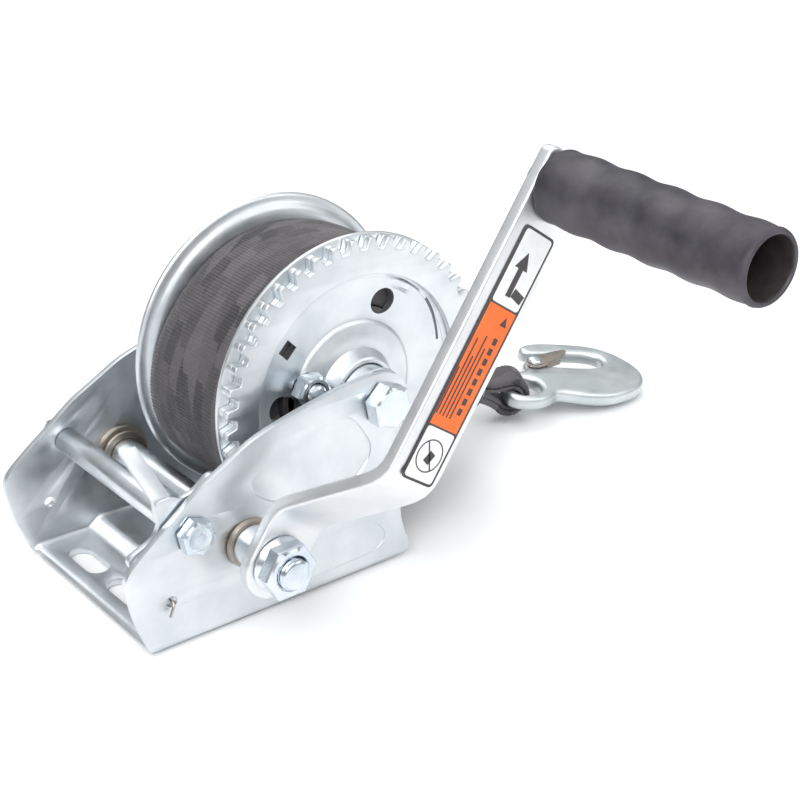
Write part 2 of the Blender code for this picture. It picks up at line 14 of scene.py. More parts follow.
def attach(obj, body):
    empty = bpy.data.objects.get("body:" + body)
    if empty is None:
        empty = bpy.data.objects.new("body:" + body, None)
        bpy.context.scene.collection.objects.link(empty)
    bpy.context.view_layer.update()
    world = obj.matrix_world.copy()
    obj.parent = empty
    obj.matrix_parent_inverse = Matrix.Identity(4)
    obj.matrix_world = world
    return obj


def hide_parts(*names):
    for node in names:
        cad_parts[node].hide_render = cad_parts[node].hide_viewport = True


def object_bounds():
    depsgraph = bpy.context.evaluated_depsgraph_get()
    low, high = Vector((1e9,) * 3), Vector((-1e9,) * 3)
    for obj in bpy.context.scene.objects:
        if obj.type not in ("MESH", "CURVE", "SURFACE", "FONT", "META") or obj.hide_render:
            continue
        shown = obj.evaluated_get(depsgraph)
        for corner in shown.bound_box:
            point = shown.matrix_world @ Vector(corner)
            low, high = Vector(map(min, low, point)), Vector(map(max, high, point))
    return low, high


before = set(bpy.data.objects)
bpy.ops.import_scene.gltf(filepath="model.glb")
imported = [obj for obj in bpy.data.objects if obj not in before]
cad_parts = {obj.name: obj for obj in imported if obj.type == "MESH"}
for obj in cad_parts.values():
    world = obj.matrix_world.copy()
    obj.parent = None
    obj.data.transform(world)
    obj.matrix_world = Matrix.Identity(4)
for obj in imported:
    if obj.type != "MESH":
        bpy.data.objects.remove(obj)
CAD_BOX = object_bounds()
DRUM_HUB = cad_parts["drum_hub"]
MM = 0.001
EVEN = (1.0, 1.0, 1.0)
SMOOTH_UNDER = 35.0

REEL = (80.5, 70.3)
SHAFT = (19.6, 32.9)
PAWL = (-2.8, 44.1)
GRIP_FOOT = (108.05, -104.55, 162.75)
GRIP_LEAN = (0.0169, 1.0, 0.0253)
ANCHOR_REACH = 23.8
ANCHOR_TURN = math.radians(165)
ANCHOR = (REEL[0] + ANCHOR_REACH * math.cos(ANCHOR_TURN), REEL[1] + ANCHOR_REACH * math.sin(ANCHOR_TURN))
ARM_ANGLE = math.radians(55.2)
PLATE_OUT = 47.5
PLATE_IN = 44.8

CAMERA_AT = (-0.2456, -0.4722, 0.3217)
CAMERA_AZIMUTH = math.radians(-38.23)
CAMERA_ELEVATION = math.radians(25.09)
CAMERA_LENS = 72.1
ROOM_STRENGTH = 0.72
ROOM_BOTTOM = (0.30, 0.33, 0.36, 1.0)
ROOM_GREYS = ((0.18, 0.34), (0.38, 0.62), (0.60, 0.95))
LIT_POINT = (0.08, -0.02, 0.06)
SUN_STRENGTH = 1.35
SUN_SPREAD = math.radians(70)


# ---------------------------------------------------------------- camera, light, floor

def make_camera():
    data = bpy.data.cameras.new("camera")
    data.sensor_width = 36.0
    data.lens = CAMERA_LENS
    data.clip_start = 0.01
    cam = bpy.data.objects.new("camera", data)
    bpy.context.scene.collection.objects.link(cam)
    level = math.cos(CAMERA_ELEVATION)
    back = Vector((
        math.sin(CAMERA_AZIMUTH) * level, -math.cos(CAMERA_AZIMUTH) * level, math.sin(CAMERA_ELEVATION),
    ))
    cam.location = CAMERA_AT
    cam.rotation_mode = "QUATERNION"
    cam.rotation_quaternion = (-back).to_track_quat("-Z", "Y")
    bpy.context.scene.camera = cam


def softbox(name, at, power, width, height):
    data = bpy.data.lights.new(name, "AREA")
    data.shape = "RECTANGLE"
    data.energy = power
    data.size = width
    data.size_y = height
    lamp = bpy.data.objects.new(name, data)
    lamp.location = at
    lamp.rotation_mode = "QUATERNION"
    lamp.rotation_quaternion = (Vector(at) - Vector(LIT_POINT)).to_track_quat("Z", "Y")
    bpy.context.scene.collection.objects.link(lamp)


def make_studio():
    """White to the eye; what the metal mirrors is a bright ceiling over a darker grey room."""
    world = bpy.data.worlds.new("studio")
    bpy.context.scene.world = world
    world.use_nodes = True
    tree = world.node_tree
    room = tree.nodes["Background"]
    coords = tree.nodes.new("ShaderNodeTexCoord")
    axes = tree.nodes.new("ShaderNodeSeparateXYZ")
    tree.links.new(coords.outputs["Generated"], axes.inputs["Vector"])
    height = tree.nodes.new("ShaderNodeValToRGB")
    stops = height.color_ramp
    stops.elements[0].position, stops.elements[0].color = 0.0, ROOM_BOTTOM
    stops.elements[1].position, stops.elements[1].color = 1.0, (1.0, 1.0, 1.0, 1.0)
    for at, grey in ROOM_GREYS:
        stops.elements.new(at).color = (grey * 0.96, grey * 0.99, grey, 1.0)
    tree.links.new(axes.outputs["Z"], height.inputs["Fac"])
    tree.links.new(height.outputs["Color"], room.inputs["Color"])
    room.inputs["Strength"].default_value = ROOM_STRENGTH
    white = tree.nodes.new("ShaderNodeBackground")
    path = tree.nodes.new("ShaderNodeLightPath")
    mix = tree.nodes.new("ShaderNodeMixShader")
    tree.links.new(path.outputs["Is Camera Ray"], mix.inputs["Fac"])
    tree.links.new(room.outputs["Background"], mix.inputs[1])
    tree.links.new(white.outputs["Background"], mix.inputs[2])
    tree.links.new(mix.outputs["Shader"], tree.nodes["World Output"].inputs["Surface"])
    white.inputs["Color"].default_value = (1.0, 1.0, 1.0, 1.0)
    softbox("key", (-0.85, -0.75, 0.95), 6.5, 0.7, 0.5)
    softbox("fill", (0.9, -0.9, 0.7), 2.5, 0.7, 0.7)
    softbox("top", (0.3, 0.6, 1.2), 5.0, 1.1, 0.7)
    sun = bpy.data.objects.new("sun", bpy.data.lights.new("sun", "SUN"))
    sun.data.energy = SUN_STRENGTH
    sun.data.angle = SUN_SPREAD
    sun.rotation_euler = (math.radians(28), math.radians(-20), 0)
    bpy.context.scene.collection.objects.link(sun)
    bpy.context.scene.view_settings.view_transform = "Standard"
    bm = bmesh.new()
    bmesh.ops.create_grid(bm, x_segments=8, y_segments=8, size=4.0)
    mesh = bpy.data.meshes.new("floor")
    bm.to_mesh(mesh)
    bm.free()
    floor = bpy.data.objects.new("floor", mesh)
    floor.location.z = CAD_BOX[0].z - 0.0004
    bpy.context.scene.collection.objects.link(floor)
    mat, tree, shader = new_look("floor_paper", (0.94, 0.94, 0.95), 0.0, 0.75)
    vary(tree, shader, "Base Color", 3.0, (0.93, 0.935, 0.945), (0.95, 0.95, 0.955))
    mesh.materials.append(mat)


# ---------------------------------------------------------------- materials

def new_look(name, colour, metallic, roughness):
    mat = bpy.data.materials.new(name)
    mat.use_nodes = True
    tree = mat.node_tree
    shader = tree.nodes["Principled BSDF"]
    shader.inputs["Base Color"].default_value = (*colour, 1.0)
    shader.inputs["Metallic"].default_value = metallic
    shader.inputs["Roughness"].default_value = roughness
    return mat, tree, shader


def place_coords(tree, scale):
    coords = tree.nodes.new("ShaderNodeTexCoord")
    mapping = tree.nodes.new("ShaderNodeMapping")
    mapping.inputs["Scale"].default_value = scale
    tree.links.new(coords.outputs["Object"], mapping.inputs["Vector"])
    return mapping.outputs["Vector"]


def noise(tree, scale, detail=4.0, stretch=EVEN):
    node = tree.nodes.new("ShaderNodeTexNoise")
    node.inputs["Scale"].default_value = scale
    node.inputs["Detail"].default_value = detail
    node.inputs["Roughness"].default_value = 0.55
    tree.links.new(place_coords(tree, stretch), node.inputs["Vector"])
    return node.outputs["Fac"]


def ramp(tree, source, low, high, start=0.35, end=0.65):
    node = tree.nodes.new("ShaderNodeValToRGB")
    node.color_ramp.elements[0].position = start
    node.color_ramp.elements[1].position = end
    node.color_ramp.elements[0].color = (*low, 1.0)
    node.color_ramp.elements[1].color = (*high, 1.0)
    tree.links.new(source, node.inputs["Fac"])
    return node.outputs["Color"]


def vary(tree, shader, socket, scale, low, high, stretch=EVEN, detail=4.0):
    """Noise between two values, of a colour or of a number, on one shader socket."""
    if isinstance(low, tuple):
        out = ramp(tree, noise(tree, scale, detail, stretch), low, high)
    else:
        node = tree.nodes.new("ShaderNodeMapRange")
        node.inputs["From Min"].default_value = 0.3
        node.inputs["From Max"].default_value = 0.7
        node.inputs["To Min"].default_value = low
        node.inputs["To Max"].default_value = high
        tree.links.new(noise(tree, scale, detail, stretch), node.inputs["Value"])
        out = node.outputs["Result"]
    tree.links.new(out, shader.inputs[socket])


def bump(tree, shader, layers):
    """Stacks noise bumps, each (scale, strength, distance in metres)."""
    normal = None
    for scale, strength, distance in layers:
        node = tree.nodes.new("ShaderNodeBump")
        node.inputs["Strength"].default_value = strength
        node.inputs["Distance"].default_value = distance
        tree.links.new(noise(tree, scale, 3.0), node.inputs["Height"])
        if normal:
            tree.links.new(normal, node.inputs["Normal"])
        normal = node.outputs["Normal"]
    tree.links.new(normal, shader.inputs["Normal"])


def metal(name, dark, light, rough, grain=2600.0, ripple=0.35):
    """Plated metal: cloudy tint, uneven gloss, a faint roll of the sheet and a fine grain."""
    mat, tree, shader = new_look(name, light, 1.0, rough[0])
    vary(tree, shader, "Base Color", 45.0, dark, light, detail=5.0)
    vary(tree, shader, "Roughness", 160.0, rough[0], rough[1], detail=6.0)
    bump(tree, shader, [(22.0, ripple, 0.0004), (grain, 0.12, 0.00003)])
    return mat


def make_looks():
    looks = {
        "zinc": metal("zinc_plate", (0.66, 0.70, 0.73), (0.78, 0.80, 0.815), (0.34, 0.47), ripple=0.25),
        "arm": metal("arm_plate", (0.76, 0.77, 0.785), (0.84, 0.845, 0.855), (0.38, 0.50), 1500.0, 0.12),
        "bolt": metal("bolt_plate", (0.60, 0.67, 0.73), (0.78, 0.82, 0.86), (0.20, 0.32), 3000.0, 0.05),
        "bronze": metal(
            "sintered_bronze", (0.27, 0.235, 0.20), (0.44, 0.395, 0.345), (0.36, 0.52), 1800.0, 0.05,
        ),
        "bush": metal("turned_steel", (0.60, 0.65, 0.69), (0.78, 0.81, 0.83), (0.26, 0.38), 3000.0, 0.04),
        "hook": metal("hook_casting", (0.58, 0.63, 0.64), (0.72, 0.755, 0.765), (0.36, 0.5), 700.0, 0.4),
        "latch": metal("latch_sheet", (0.42, 0.36, 0.32), (0.55, 0.48, 0.43), (0.3, 0.42)),
        "wire": metal("spring_wire", (0.45, 0.42, 0.38), (0.66, 0.64, 0.6), (0.25, 0.35), ripple=0.02),
    }
    looks["webbing"] = webbing_look()
    looks["rubber"] = rubber_look()
    # Near-black: the label's print, and also painted shade on the drum hub and inside the grip's bore.
    looks["dark"] = glossy_plain_look("black_print_and_painted_shade", (0.035, 0.028, 0.030), (0.05, 0.045, 0.045))
    looks["orange"] = glossy_plain_look("label_orange", (1.0, 0.135, 0.008), (1.0, 0.165, 0.018))
    looks["white"] = glossy_plain_look("label_white", (0.80, 0.80, 0.81), (0.86, 0.86, 0.865))
    return looks


def webbing_look():
    """Woven polyester: patches that shift from band to band across the strap, clouds and fine yarn."""
    mat, tree, shader = new_look("webbing", (0.06, 0.052, 0.058), 0.0, 0.6)
    around = tree.nodes.new("ShaderNodeAttribute")
    around.attribute_name = "strap_place"
    cells = tree.nodes.new("ShaderNodeTexWhiteNoise")
    cells.noise_dimensions = "2D"
    steps = tree.nodes.new("ShaderNodeVectorMath")
    steps.operation = "FLOOR"
    tree.links.new(around.outputs["Vector"], steps.inputs[0])
    tree.links.new(steps.outputs["Vector"], cells.inputs["Vector"])
    yarn = noise(tree, 1300.0, 4.0)
    clouds = noise(tree, 60.0, 3.0)
    total = cells.outputs["Value"]
    for other, share in ((yarn, 0.45), (clouds, 0.35)):
        blend = tree.nodes.new("ShaderNodeMix")
        blend.inputs["Factor"].default_value = share
        tree.links.new(total, blend.inputs["A"])
        tree.links.new(other, blend.inputs["B"])
        total = blend.outputs["Result"]
    colour = ramp(tree, total, (0.033, 0.030, 0.034), (0.120, 0.109, 0.119), 0.30, 0.72)
    tree.links.new(colour, shader.inputs["Base Color"])
    vary(tree, shader, "Roughness", 300.0, 0.42, 0.66)
    shader.inputs["Sheen Weight"].default_value = 0.15
    shader.inputs["Sheen Roughness"].default_value = 0.4
    bump(tree, shader, [(1500.0, 0.5, 0.0002)])
    return mat


PATCH_WIDTH = 6.1
PATCH_LENGTH = 21.0
PATCH_DEGREES = 17.0
STRAP_EDGE = 26.0


def mark_strap(obj, place):
    """Stores each point's place along and across the strap, counted in patches."""
    values = obj.data.attributes.new("strap_place", "FLOAT_VECTOR", "POINT")
    for k, vert in enumerate(obj.data.vertices):
        along, across = place(vert.co / MM)
        values.data[k].vector = (along, across, 0.0)


def rubber_look():
    """Moulded grip: dark grey with a mottled sheen from the mould."""
    mat, tree, shader = new_look("grip_plastic", (0.05, 0.045, 0.054), 0.0, 0.42)
    vary(tree, shader, "Base Color", 60.0, (0.022, 0.020, 0.027), (0.078, 0.071, 0.086), detail=9.0)
    vary(tree, shader, "Roughness", 48.0, 0.36, 0.62, (1.0, 0.6, 1.0), 5.0)
    bump(tree, shader, [(90.0, 0.25, 0.0004), (1900.0, 0.3, 0.00006)])
    return mat


def glossy_plain_look(name, low, high):
    mat, tree, shader = new_look(name, high, 0.0, 0.32)
    vary(tree, shader, "Base Color", 240.0, low, high)
    vary(tree, shader, "Roughness", 120.0, 0.28, 0.40)
    bump(tree, shader, [(700.0, 0.08, 0.00005)])
    return mat


# ---------------------------------------------------------------- shapes

def arc(cx, cz, radius, start, end, steps):
    points = []
    for k in range(steps + 1):
        a = math.radians(start + (end - start) * k / steps)
        points.append((cx + radius * math.cos(a), cz + radius * math.sin(a)))
    return points


def circle(cx, cz, radius, count=48):
    return arc(cx, cz, radius, 0, 360 - 360 / count, count - 1)


def stadium(cx, cz, length, width, angle):
    """Rounded slot of the given overall length and width."""
    reach = (length - width) / 2
    points = []
    for end in (1, -1):
        turn = angle if end == 1 else angle + 180
        ex = cx + end * reach * math.cos(math.radians(angle))
        ez = cz + end * reach * math.sin(math.radians(angle))
        points += arc(ex, ez, width / 2, turn - 90, turn + 90, 12)
    return points


def polar(centre, radius, degrees):
    a = math.radians(degrees)
    return centre[0] + radius * math.cos(a), centre[1] + radius * math.sin(a)


def softened(points, reach, steps=4):
    """The outline with each corner rounded, starting at most reach from it."""
    out = []
    count = len(points)
    for i, point in enumerate(points):
        p = Vector(point)
        before, after = Vector(points[i - 1]) - p, Vector(points[(i + 1) % count]) - p
        start = p + before.normalized() * min(reach, before.length * 0.45)
        end = p + after.normalized() * min(reach, after.length * 0.45)
        for k in range(steps + 1):
            t = k / steps
            q = start * (1 - t) ** 2 + p * 2 * t * (1 - t) + end * t * t
            out.append((q.x, q.y))
    return out


PLANES = {
    "XZ": Matrix(((1, 0, 0, 0), (0, 0, 1, 0), (0, 1, 0, 0), (0, 0, 0, 1))),
    "XY": Matrix.Identity(4),
    "YZ": Matrix(((0, 0, 1, 0), (1, 0, 0, 0), (0, 1, 0, 0), (0, 0, 0, 1))),
}


def flat(loops, low, high, edge=0.0, rounds=2, plane="XZ"):
    """Closed bmesh of a flat shape between two heights, its rims rounded by edge; later loops are holes."""
    curve = bpy.data.curves.new("outline", "CURVE")
    curve.dimensions = "2D"
    curve.fill_mode = "BOTH"
    curve.extrude = (high - low) / 2 - edge
    curve.bevel_depth = edge
    curve.bevel_resolution = rounds
    curve.offset = -edge
    for loop in loops:
        spline = curve.splines.new("POLY")
        spline.points.add(len(loop) - 1)
        for point, (x, y) in zip(spline.points, loop):
            point.co = (x, y, 0.0, 1.0)
        spline.use_cyclic_u = True
    holder = bpy.data.objects.new("outline", curve)
    bpy.context.scene.collection.objects.link(holder)
    graph = bpy.context.evaluated_depsgraph_get()
    mesh = bpy.data.meshes.new_from_object(holder.evaluated_get(graph))
    bpy.data.objects.remove(holder)
    bm = bmesh.new()
    bm.from_mesh(mesh)
    bpy.data.meshes.remove(mesh)
    bmesh.ops.remove_doubles(bm, verts=bm.verts, dist=0.001)
    bmesh.ops.translate(bm, verts=bm.verts, vec=(0, 0, (low + high) / 2))
    bm.transform(PLANES[plane])
    if plane == "XZ":
        bmesh.ops.reverse_faces(bm, faces=bm.faces)
    return bm


def hexagon(angle):
    """Distance to a hexagon's side over its half width, corners at multiples of 60 degrees."""
    return 1.0 / math.cos(angle % (math.pi / 3) - math.pi / 6)


def turned(centre, profile, segments=96, ring=True, grow=None):
    """Revolves (radius, y) entries about an axis parallel to Y; a third value makes that loop a hexagon.

    grow(angle, y, radius) returns what is added to the radius there.
    """
    bm = bmesh.new()
    loops = []
    for entry in profile:
        loop = []
        for k in range(segments):
            a = 2 * math.pi * k / segments
            radius = entry[0] * (hexagon(a) if len(entry) == 3 else 1.0)
            if grow:
                radius += grow(a, entry[1], entry[0])
            x, z = centre[0] + radius * math.cos(a), centre[1] + radius * math.sin(a)
            loop.append(bm.verts.new((x, entry[1], z)))
        loops.append(loop)
    pairs = list(zip(loops, loops[1:]))
    if ring:
        pairs.append((loops[-1], loops[0]))
    else:
        bm.faces.new(loops[0])
        bm.faces.new(list(reversed(loops[-1])))
    for first, second in pairs:
        for k in range(segments):
            n = (k + 1) % segments
            bm.faces.new((first[k], second[k], second[n], first[n]))
    bmesh.ops.recalc_face_normals(bm, faces=bm.faces)
    return bm


def solid(name, bm, material):
    """Object in metres from a bmesh in millimetres."""
    bmesh.ops.scale(bm, verts=bm.verts, vec=(MM, MM, MM))
    mesh = bpy.data.meshes.new(name)
    bm.to_mesh(mesh)
    bm.free()
    obj = bpy.data.objects.new(name, mesh)
    bpy.context.scene.collection.objects.link(obj)
    mesh.materials.append(material)
    mesh.shade_smooth()
    mesh.set_sharp_from_angle(angle=math.radians(SMOOTH_UNDER))
    return obj


def apply_all(obj):
    graph = bpy.context.evaluated_depsgraph_get()
    mesh = bpy.data.meshes.new_from_object(obj.evaluated_get(graph))
    obj.modifiers.clear()
    old = obj.data
    obj.data = mesh
    bpy.data.meshes.remove(old)


def combine(obj, bm, operation="DIFFERENCE"):
    """Cuts, joins or intersects obj with a helper mesh, for good."""
    helper = solid("helper", bm, obj.data.materials[0])
    change = obj.modifiers.new("combine", "BOOLEAN")
    change.operation = operation
    change.solver = "EXACT"
    change.object = helper
    apply_all(obj)
    bpy.data.objects.remove(helper)


def soften_edges(obj, width, segments=2, angle=30.0):
    change = obj.modifiers.new("edges", "BEVEL")
    change.width = width * MM
    change.segments = segments
    change.limit_method = "ANGLE"
    change.angle_limit = math.radians(angle)
    change.miter_outer = "MITER_ARC"
    apply_all(obj)


def finish_piece(obj, body, nodes, smooth=SMOOTH_UNDER):
    obj.data.shade_smooth()
    obj.data.set_sharp_from_angle(angle=math.radians(smooth))
    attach(obj, body)
    if nodes:
        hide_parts(*nodes)
    return obj


def piece(name, bm, material, body, nodes, smooth=SMOOTH_UNDER):
    return finish_piece(solid(name, bm, material), body, nodes, smooth)


# ---------------------------------------------------------------- frame

PLATE_OUTLINE = [
    (-19.5, 0.0), (-22.0, 1.6), (-22.8, 4.1), (-27.0, 15.4), (-29.8, 29.5), (-29.9, 33.9), (-27.6, 37.4),
    (-19.7, 43.9), (-9.2, 51.6), (1.3, 59.7), (11.8, 65.3), (22.4, 71.2), (30.9, 74.1), (43.9, 77.2),
    (52.7, 79.0), (61.6, 80.8), (70.0, 81.8), (78.3, 82.0), (84.8, 81.2), (89.3, 78.3), (92.2, 73.8),
    (93.3, 68.4), (92.6, 64.0), (90.4, 59.6), (89.2, 54.0), (88.8, 40.0), (89.2, 20.0), (91.0, 12.5),
    (93.4, 7.0), (92.9, 3.0), (90.4, 0.6), (87.5, 0.0),
]
PANEL = [
    (21.8, 58.0), (22.3, 51.0), (30.0, 45.0), (52.0, 36.0), (68.0, 41.0), (77.1, 52.0), (70.0, 64.5),
    (63.6, 70.2),
]
LOWER_PANEL = [(40.0, 12.0), (46.0, 22.5), (76.0, 22.0), (83.0, 14.0), (78.0, 8.0), (46.0, 7.0)]
SLOTS = ((-8.8, 22.7), (-8.8, -6.9), (58.0, 22.0), (58.0, -22.0))
SLOT_LENGTH = 22.5
SLOT_WIDTH = 9.6


def make_frame():
    """Pressed channel: side plates, base with slots and a step behind its front lip, two sunken panels."""
    holes = [circle(*REEL, 5.9), circle(*SHAFT, 8.3), circle(*PAWL, 4.3), circle(-12.6, 20.0, 2.2)]
    outline = softened(list(reversed(PLATE_OUTLINE)), 4.0)
    shell = solid("frame_shell", flat([outline] + holes, -PLATE_OUT, PLATE_OUT), LOOK["zinc"])
    corner = 4.6
    section = [(-PLATE_OUT, 120.0), (PLATE_OUT, 120.0)]
    section += arc(PLATE_OUT - corner, corner, corner, 0, -90, 10)
    section += arc(-PLATE_OUT + corner, corner, corner, -90, -180, 10)
    combine(shell, flat([section], -80.0, 130.0, plane="YZ"), "INTERSECT")
    inside = [(-60.0, -20.0), (-21.2, -20.0), (-21.2, 0.4)]
    inside += arc(-17.9, -0.6, 3.3, 160, 90, 6)
    inside += arc(2.6, 5.4, 2.7, -90, -42, 5)
    inside += arc(9.6, 2.2, 4.2, 132, 90, 5)
    inside += [(140.0, 6.4), (140.0, 200.0), (-60.0, 200.0)]
    combine(shell, flat([inside], -PLATE_IN, PLATE_IN, 2.6, 4))
    under = [(-4.0, -8.0), (3.2, 0.4), (6.8, 3.1), (9.6, 3.7), (140.0, 3.7), (140.0, -8.0)]
    combine(shell, flat([under], -PLATE_IN + 0.6, PLATE_IN - 0.6))
    for x, y in SLOTS:
        combine(shell, flat([stadium(x, y, SLOT_LENGTH, SLOT_WIDTH, 90)], -10.0, 20.0, plane="XY"))
    for side in (-1, 1):
        relief = flat([stadium(-21.5, side * (PLATE_IN - 2.4), 6.0, 3.6, 0)], -5.0, 2.0, plane="XY")
        combine(shell, relief)
    for panel, rounding, depth, edge in ((PANEL, 8.0, 0.9, 0.85), (LOWER_PANEL, 6.0, 0.45, 0.4)):
        loop = softened(list(reversed(panel)), rounding, 8)
        combine(shell, flat([loop], -PLATE_OUT - 6, -PLATE_OUT + depth, edge, 4))
    soften_edges(shell, 0.35)
    finish_piece(shell, "frame", ["frame"], 40.0)


# ---------------------------------------------------------------- bolts, nuts, bushings

def threads(centre, radius, y0, y1, pitch=1.4, depth=0.42, end=0.8):
    """Rod with a helical thread; both ends are chamfered."""
    per_turn = 6
    count = max(int(abs(y1 - y0) / pitch * per_turn), 6)
    profile = [(radius, y0 + (y1 - y0) * k / count) for k in range(count + 1)]

    def grow(angle, y, base):
        phase = (y / pitch + angle / (2 * math.pi)) % 1.0
        cut = depth * (1.0 - abs(2.0 * phase - 1.0))
        near = min(abs(y - y0), abs(y - y1))
        return -cut - max(end - near, 0.0)

    return turned(centre, profile, 48, ring=False, grow=grow)


def bolt_head(half, y_face, y_seat):
    """Hex head with a chamfered crown, a shallow dish in its face and a washer step under it."""
    step = 1.0 if y_seat > y_face else -1.0
    return [
        (half * 0.30, y_face + 0.25 * step), (half * 0.62, y_face + 0.22 * step), (half * 0.72, y_face),
        (half * 0.90, y_face + 0.05 * step), (half * 0.965, y_face + 0.55 * step, True),
        (half * 0.995, y_face + 1.1 * step, True), (half, y_seat - 0.9 * step, True),
        (half * 0.97, y_seat - 0.45 * step, True), (half * 0.93, y_seat - 0.4 * step), (half * 0.93, y_seat),
    ]


def bolt(name, node, centre, half, shank, y_face, y_seat, y_thread, y_end, body, turn=0.0):
    """Head and plain shank in one turned piece, the threaded end in another."""
    profile = bolt_head(half, y_face, y_seat) + [(shank, y_seat), (shank, y_thread)]
    bm = turned(centre, profile, 96, ring=False)
    twist = Matrix.Rotation(math.radians(turn), 3, "Y")
    bmesh.ops.rotate(bm, verts=bm.verts, cent=(centre[0], 0.0, centre[1]), matrix=twist)
    piece(name, bm, LOOK["bolt"], body, [node], 20.0)
    end = threads(centre, shank, y_thread, y_end)
    piece(name + "_thread", end, LOOK["bolt"], body, [node], 50.0)


def nut(name, node, centre, half, bore, y0, y1, body):
    rim = 0.55
    profile = [
        (bore, y0 + 0.8), (bore + 0.7, y0), (half * 0.92, y0), (half * 0.965, y0 + rim, True),
        (half, y0 + 1.2, True), (half, y1 - 1.2, True), (half * 0.965, y1 - rim, True), (half * 0.92, y1),
        (bore + 0.7, y1), (bore, y1 - 0.8),
    ]
    piece(name, turned(centre, profile), LOOK["bolt"], body, [node], 20.0)


def bushing(name, profile, node):
    piece(name, turned(SHAFT, profile), LOOK["bronze"], "frame", [node])


BOLT_TURN = 18.0


def make_fixed_hardware():
    bolt("reel_bolt_head", "reel_bolt", REEL, 7.8, 5.5, -54.9, -47.8, 46.0, 59.0, "frame", BOLT_TURN)
    nut("reel_lock_nut", "reel_bolt_nut", REEL, 7.8, 5.6, 47.8, 55.6, "frame")
    bolt("pawl_bolt_head", "pawl_bolt", PAWL, 6.2, 3.9, -53.1, -47.8, 46.0, 57.0, "frame", BOLT_TURN)
    nut("pawl_lock_nut", "pawl_bolt_nut", PAWL, 6.2, 4.0, 47.8, 54.3, "frame")
    near = [
        (6.65, -49.9), (7.0, -50.3), (8.6, -50.3), (9.0, -50.1), (9.2, -49.7), (9.2, -48.1), (8.9, -47.8),
        (8.0, -47.8), (8.0, -44.5), (6.65, -44.5),
    ]
    bushing("near_bushing", near, "shaft_bushing_near")
    far = [
        (6.65, 42.4), (7.1, 42.0), (10.3, 42.0), (10.8, 42.2), (11.0, 42.7), (11.0, 44.2), (10.7, 44.5),
        (8.0, 44.5), (8.0, 47.9), (7.6, 48.3), (6.65, 48.3),
    ]
    bushing("far_bushing", far, "shaft_bushing_far")
    washer = [(6.65, 40.2), (9.2, 40.2), (9.5, 40.5), (9.5, 41.4), (9.2, 41.7), (6.65, 41.7)]
    bushing("far_washer", washer, "shaft_thrust_washer")
    tube = [(4.3, -44.5), (4.8, -44.5), (5.0, -44.2), (5.0, 44.2), (4.8, 44.5), (4.3, 44.5)]
    piece("pawl_sleeve", turned(PAWL, tube), LOOK["bush"], "frame", ["pawl_tube"])
    tube = [(5.9, -44.5), (7.7, -44.5), (8.0, -44.2), (8.0, 44.2), (7.7, 44.5), (5.9, 44.5)]
    piece("reel_sleeve", turned(REEL, tube), LOOK["bush"], "frame", ["reel_spacer_tube"])


# ---------------------------------------------------------------- reel

TEETH = 44
STEP_DEG = 360.0 / TEETH
TOOTH_AT = 173.91


def tooth_outline(root, tip):
    """Stub teeth with filleted roots and rounded tips."""
    points = []
    for k in range(TEETH):
        middle = TOOTH_AT + k * STEP_DEG
        half = ((root, 0.36), (root + 0.5, 0.295), (tip - 0.8, 0.185), (tip - 0.15, 0.14), (tip, 0.07))
        for radius, share in half:
            points.append(polar(REEL, radius, middle - share * STEP_DEG))
        for radius, share in reversed(half):
            points.append(polar(REEL, radius, middle + share * STEP_DEG))
    return points


def gear_openings():
    """Round, square and two oblong windows that pass through the gear's web."""
    loops = [circle(*polar(REEL, 34.1, 66), 5.25), circle(*polar(REEL, 37.3, 142.5), 4.2, 4)]
    loops.append(stadium(*polar(REEL, 31.9, 181), 13.5, 9.8, -20))
    loops.append(stadium(*polar(REEL, 36.4, 320), 17.0, 7.0, 40))
    return loops


BULGE_START = 44.0
BULGE_SPAN = 27.0
BULGE_HEIGHT = 1.7
SLIT_HALF_WIDTH = 0.55


def make_gear():
    """Two toothed plates; the inner one is dished, with a hub, a rippled bulge and a thin curved slit."""
    teeth = tooth_outline(54.9, 59.2)
    front = flat([teeth, circle(*REEL, 45.3, 120)], -34.6, -31.85, 0.45, 2)
    piece("gear_face_plate", front, LOOK["zinc"], "reel", ["gear_plate_outer"])
    rear = solid("gear_web", flat([teeth, circle(*REEL, 43.0, 120)], -31.6, -28.85, 0.4, 2), LOOK["zinc"])
    web = [
        (11.6, -37.0), (12.0, -37.4), (13.2, -37.4), (13.9, -36.9), (15.0, -33.6), (16.2, -31.9),
        (17.8, -31.5), (20.4, -31.45), (21.4, -31.0), (24.6, -30.7), (25.6, -30.3), (26.4, -29.5),
        (28.0, -29.1), (34.0, -29.9), (39.9, -30.7), (41.4, -30.9), (43.4, -31.3), (44.6, -31.45),
        (44.6, -28.95), (41.0, -28.4), (28.0, -27.0), (26.0, -27.0), (17.0, -28.6), (14.0, -30.0),
        (12.0, -33.6), (11.6, -34.2),
    ]
    dished = turned(REEL, web, 128)
    for vert in dished.verts:
        reach = math.hypot(vert.co.x - REEL[0], vert.co.z - REEL[1])
        turn = math.degrees(math.atan2(vert.co.z - REEL[1], vert.co.x - REEL[0]))
        share = (turn - BULGE_START) / BULGE_SPAN
        if 41.0 < reach < 44.0 and 0.0 < share < 1.0 and vert.co.y < -30.0:
            ripple = 1.0 + 0.35 * math.sin(5.0 * math.pi * share)
            vert.co.y -= BULGE_HEIGHT * math.sin(math.pi * share) * ripple
    combine(rear, dished, "UNION")
    cuts = gear_openings() + [circle(*ANCHOR, 4.3)]
    slit = [(43.7 - 2.8 * k / 12, 40.0 - 27.0 * k / 12) for k in range(13)]
    inner = [polar(REEL, reach - SLIT_HALF_WIDTH, angle) for reach, angle in slit]
    outer = [polar(REEL, reach + SLIT_HALF_WIDTH, angle) for reach, angle in slit]
    cuts.append(inner + outer[::-1])
    for loop in cuts:
        combine(rear, flat([loop], -45.0, -20.0))
    finish_piece(rear, "reel", ["gear_plate_inner"], 30.0)


